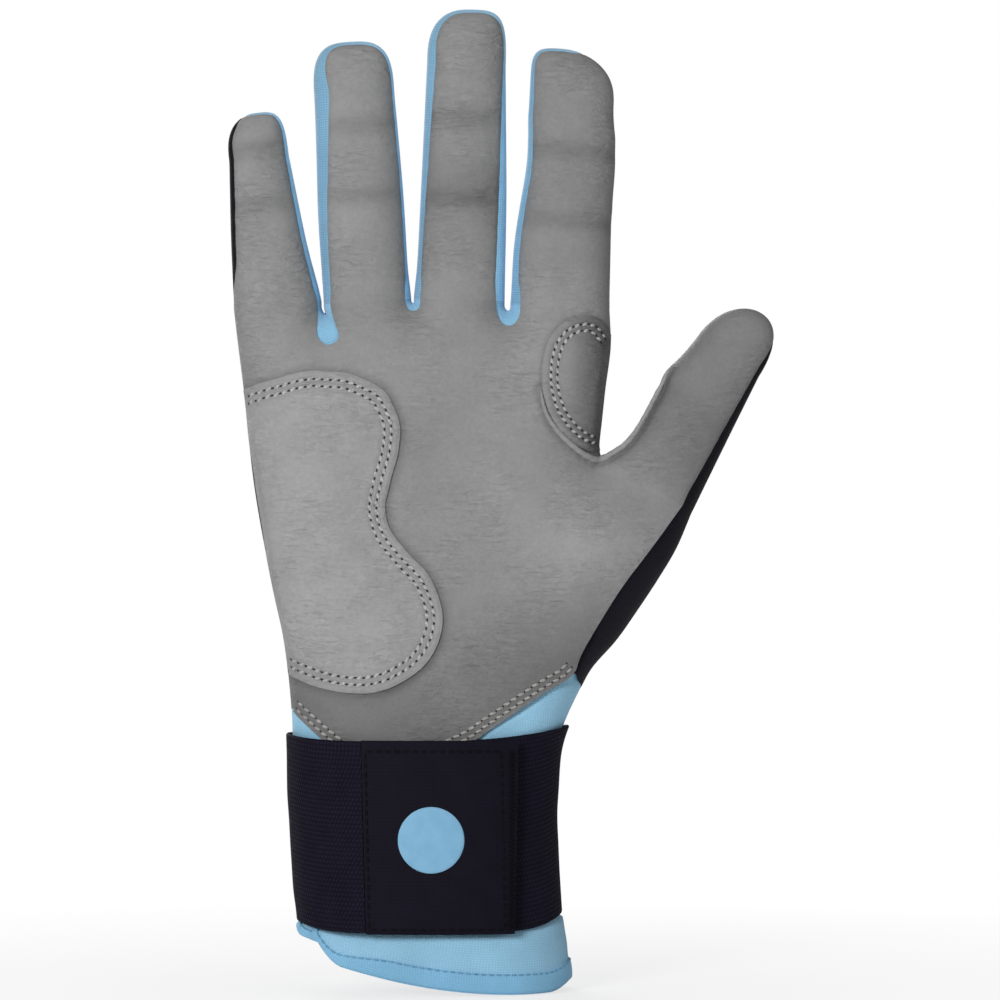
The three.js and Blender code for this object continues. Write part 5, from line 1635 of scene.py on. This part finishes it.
# %% Welt
def thumb_front(plan):
    """Palm side of the thumb at plan points."""
    away = plan - thumb.centre
    up = away @ thumb.along
    side = away @ thumb.across
    left = shaft_stations(thumb, up, -1)
    right = shaft_stations(thumb, up, 1)
    share = np.abs(side) / np.where(side < 0, left.width, right.width)
    return np.stack([plan[:, 0], left.spine_middle - bulge(share) * left.depth, plan[:, 1]], axis=1)


def welt_bed(plan):
    up = (plan - thumb.centre) @ thumb.along
    share = smooth(up, -3, 3) * smooth(plan[:, 0], 44, 48)
    return lerp(palm_surface(plan), thumb_front(plan), share[:, None])


def rope_grid(line, radius, first, last):
    """Rings of a slightly twisted tube along a plan line on the bed. It sinks in over its first and last
    millimetres, as many as given."""
    centre, normal = surface_frame(welt_bed, line)
    ahead = np.gradient(centre, axis=0)
    ahead /= np.linalg.norm(ahead, axis=1, keepdims=True)
    across = np.cross(normal, ahead)
    across /= np.linalg.norm(across, axis=1, keepdims=True)
    normal = np.cross(ahead, across)
    run = np.concatenate([[0], np.cumsum(np.linalg.norm(np.diff(centre, axis=0), axis=1))])
    thin = smooth(run, 0, first) * smooth(run[-1] - run, 0, last)
    corner = run[int(np.argmin(line[:, 1]))]
    radius = radius * (1 + 0.3 * hump(run - corner, 9)) * lerp(0.65, 1, smooth(run, 3, 16))
    spin = np.linspace(0, math.tau, 13)
    twist = 1 + 0.04 * np.sin(run[:, None] * math.tau / 2.6 + spin[None])
    size = (radius * (0.3 + 0.7 * thin))[:, None] * twist
    offset = np.cos(spin)[None, :, None] * across[:, None] + np.sin(spin)[None, :, None] * normal[:, None]
    lift = radius * (0.5 * thin - 0.5 * (1 - thin))
    return centre[:, None] + (normal * lift[:, None])[:, None] + offset * size[..., None]


up = (WELT_LINE - thumb.centre) @ thumb.along
lowest = int(np.argmin(WELT_LINE[:, 1]))
at_knuckle = lowest + int(np.argmax(up[lowest:] > 0))
at_fold = lowest + int(np.argmax(up[lowest:] > thumb.fold))
rings = rope_grid(WELT_LINE, 0.72, 4, 7)
for name, first, last in (("welt_hand", 0, at_knuckle), ("welt_thumb_lower", at_knuckle, at_fold),
                          ("welt_thumb_upper", at_fold, len(rings) - 1)):
    part = rings[first:last + 1]
    # The rope is drawn lighter than the leather: a painted highlight on the raised rope.
    piece = grid_piece(name, part, 1.15, leather, 0.0, part.mean((0, 1)) + [0, 30, 0])
    if name == "welt_hand":
        tie(piece, "hand", "grey_leather")
    else:
        tie_bending(piece, thumb, name == "welt_thumb_upper", "grey_leather")
print("welt length:", round(WELT_STEP * len(WELT_LINE)), "mm")

# %% [markdown]
# ## Light, floor and camera
#
# The studio is plain: a large soft light near the camera, weaker ones at the sides and behind, and an even
# grey sky. The floor and the background turn white for the camera only, so they add no light to the glove,
# and the floor keeps a part of the real shadow.

# %% Stage
FRAME_MM = 260.0
VIEW_CENTRE = (20.0, 126.9)
bpy.ops.object.select_all(action="DESELECT")
bpy.ops.mesh.primitive_plane_add(size=12.0, location=(0, 0, -0.0003))
floor = bpy.context.active_object
floor.name = "studio_floor"
floor_paint, tree, shader = start_material("studio_floor_white")
shader.inputs["Base Color"].default_value = linear("#f4f4f4")
shader.inputs["Roughness"].default_value = 0.9
paths = add(tree, "ShaderNodeLightPath").outputs
glow = add(tree, "ShaderNodeEmission", Color=(1, 1, 1, 1), Strength=1.0).outputs[0]
place = add(tree, "ShaderNodeTexCoord").outputs["Object"]
away = add(tree, "ShaderNodeVectorMath", {"operation": "LENGTH"}, i0=place).outputs["Value"]
share = times(tree, paths["Is Camera Ray"], spread(tree, away, 0.06, 0.32, 0.72, 1.0))
mixed = add(tree, "ShaderNodeMixShader", i0=share, i1=shader.outputs[0], i2=glow).outputs[0]
tree.links.new(mixed, tree.nodes["Material Output"].inputs["Surface"])
floor.data.materials.append(floor_paint)

world = bpy.data.worlds.new("studio_sky")
bpy.context.scene.world = world
world.use_nodes = True
tree = world.node_tree
sky = tree.nodes["Background"]
sky.inputs["Color"].default_value = (1, 1, 1, 1)
paths = add(tree, "ShaderNodeLightPath").outputs
SKY_LIGHT = 0.17
strength = spread(tree, paths["Is Camera Ray"], 0.0, 1.0, SKY_LIGHT, 1.0)
tree.links.new(strength, sky.inputs["Strength"])


def soft_light(name, place, size, watts, look_at=(0.02, 0.0, 0.13)):
    data = bpy.data.lights.new(name, "AREA")
    data.shape = "DISK"
    data.size = size
    data.energy = watts
    lamp = bpy.data.objects.new(name, data)
    bpy.context.scene.collection.objects.link(lamp)
    lamp.location = place
    lamp.rotation_euler = (Vector(look_at) - Vector(place)).to_track_quat("-Z", "Y").to_euler()


soft_light("key_softbox", (-0.75, -1.65, 0.65), 0.6, 21)
soft_light("fill_softbox", (1.3, -1.1, 0.5), 1.0, 3.0)
soft_light("back_softbox", (-0.5, 1.6, 0.8), 1.1, 18)
soft_light("top_softbox", (0.1, 0.1, 1.6), 1.0, 3)

camera_data = bpy.data.cameras.new("photo_camera")
camera_data.lens = 200
camera_data.sensor_width = 36
camera = bpy.data.objects.new("photo_camera", camera_data)
bpy.context.scene.collection.objects.link(camera)
distance = FRAME_MM * camera_data.lens / camera_data.sensor_width
camera.location = (VIEW_CENTRE[0] * MM, -distance * MM, VIEW_CENTRE[1] * MM)
camera.rotation_euler = (math.pi / 2, 0, 0)
camera_data.clip_end = 100
bpy.context.scene.camera = camera
bpy.context.scene.view_settings.view_transform = "Standard"
print("camera distance:", round(distance), "mm")

# %% [markdown]
# The dressed glove has to stay within the CAD box, apart from a little that cloth may stand proud.
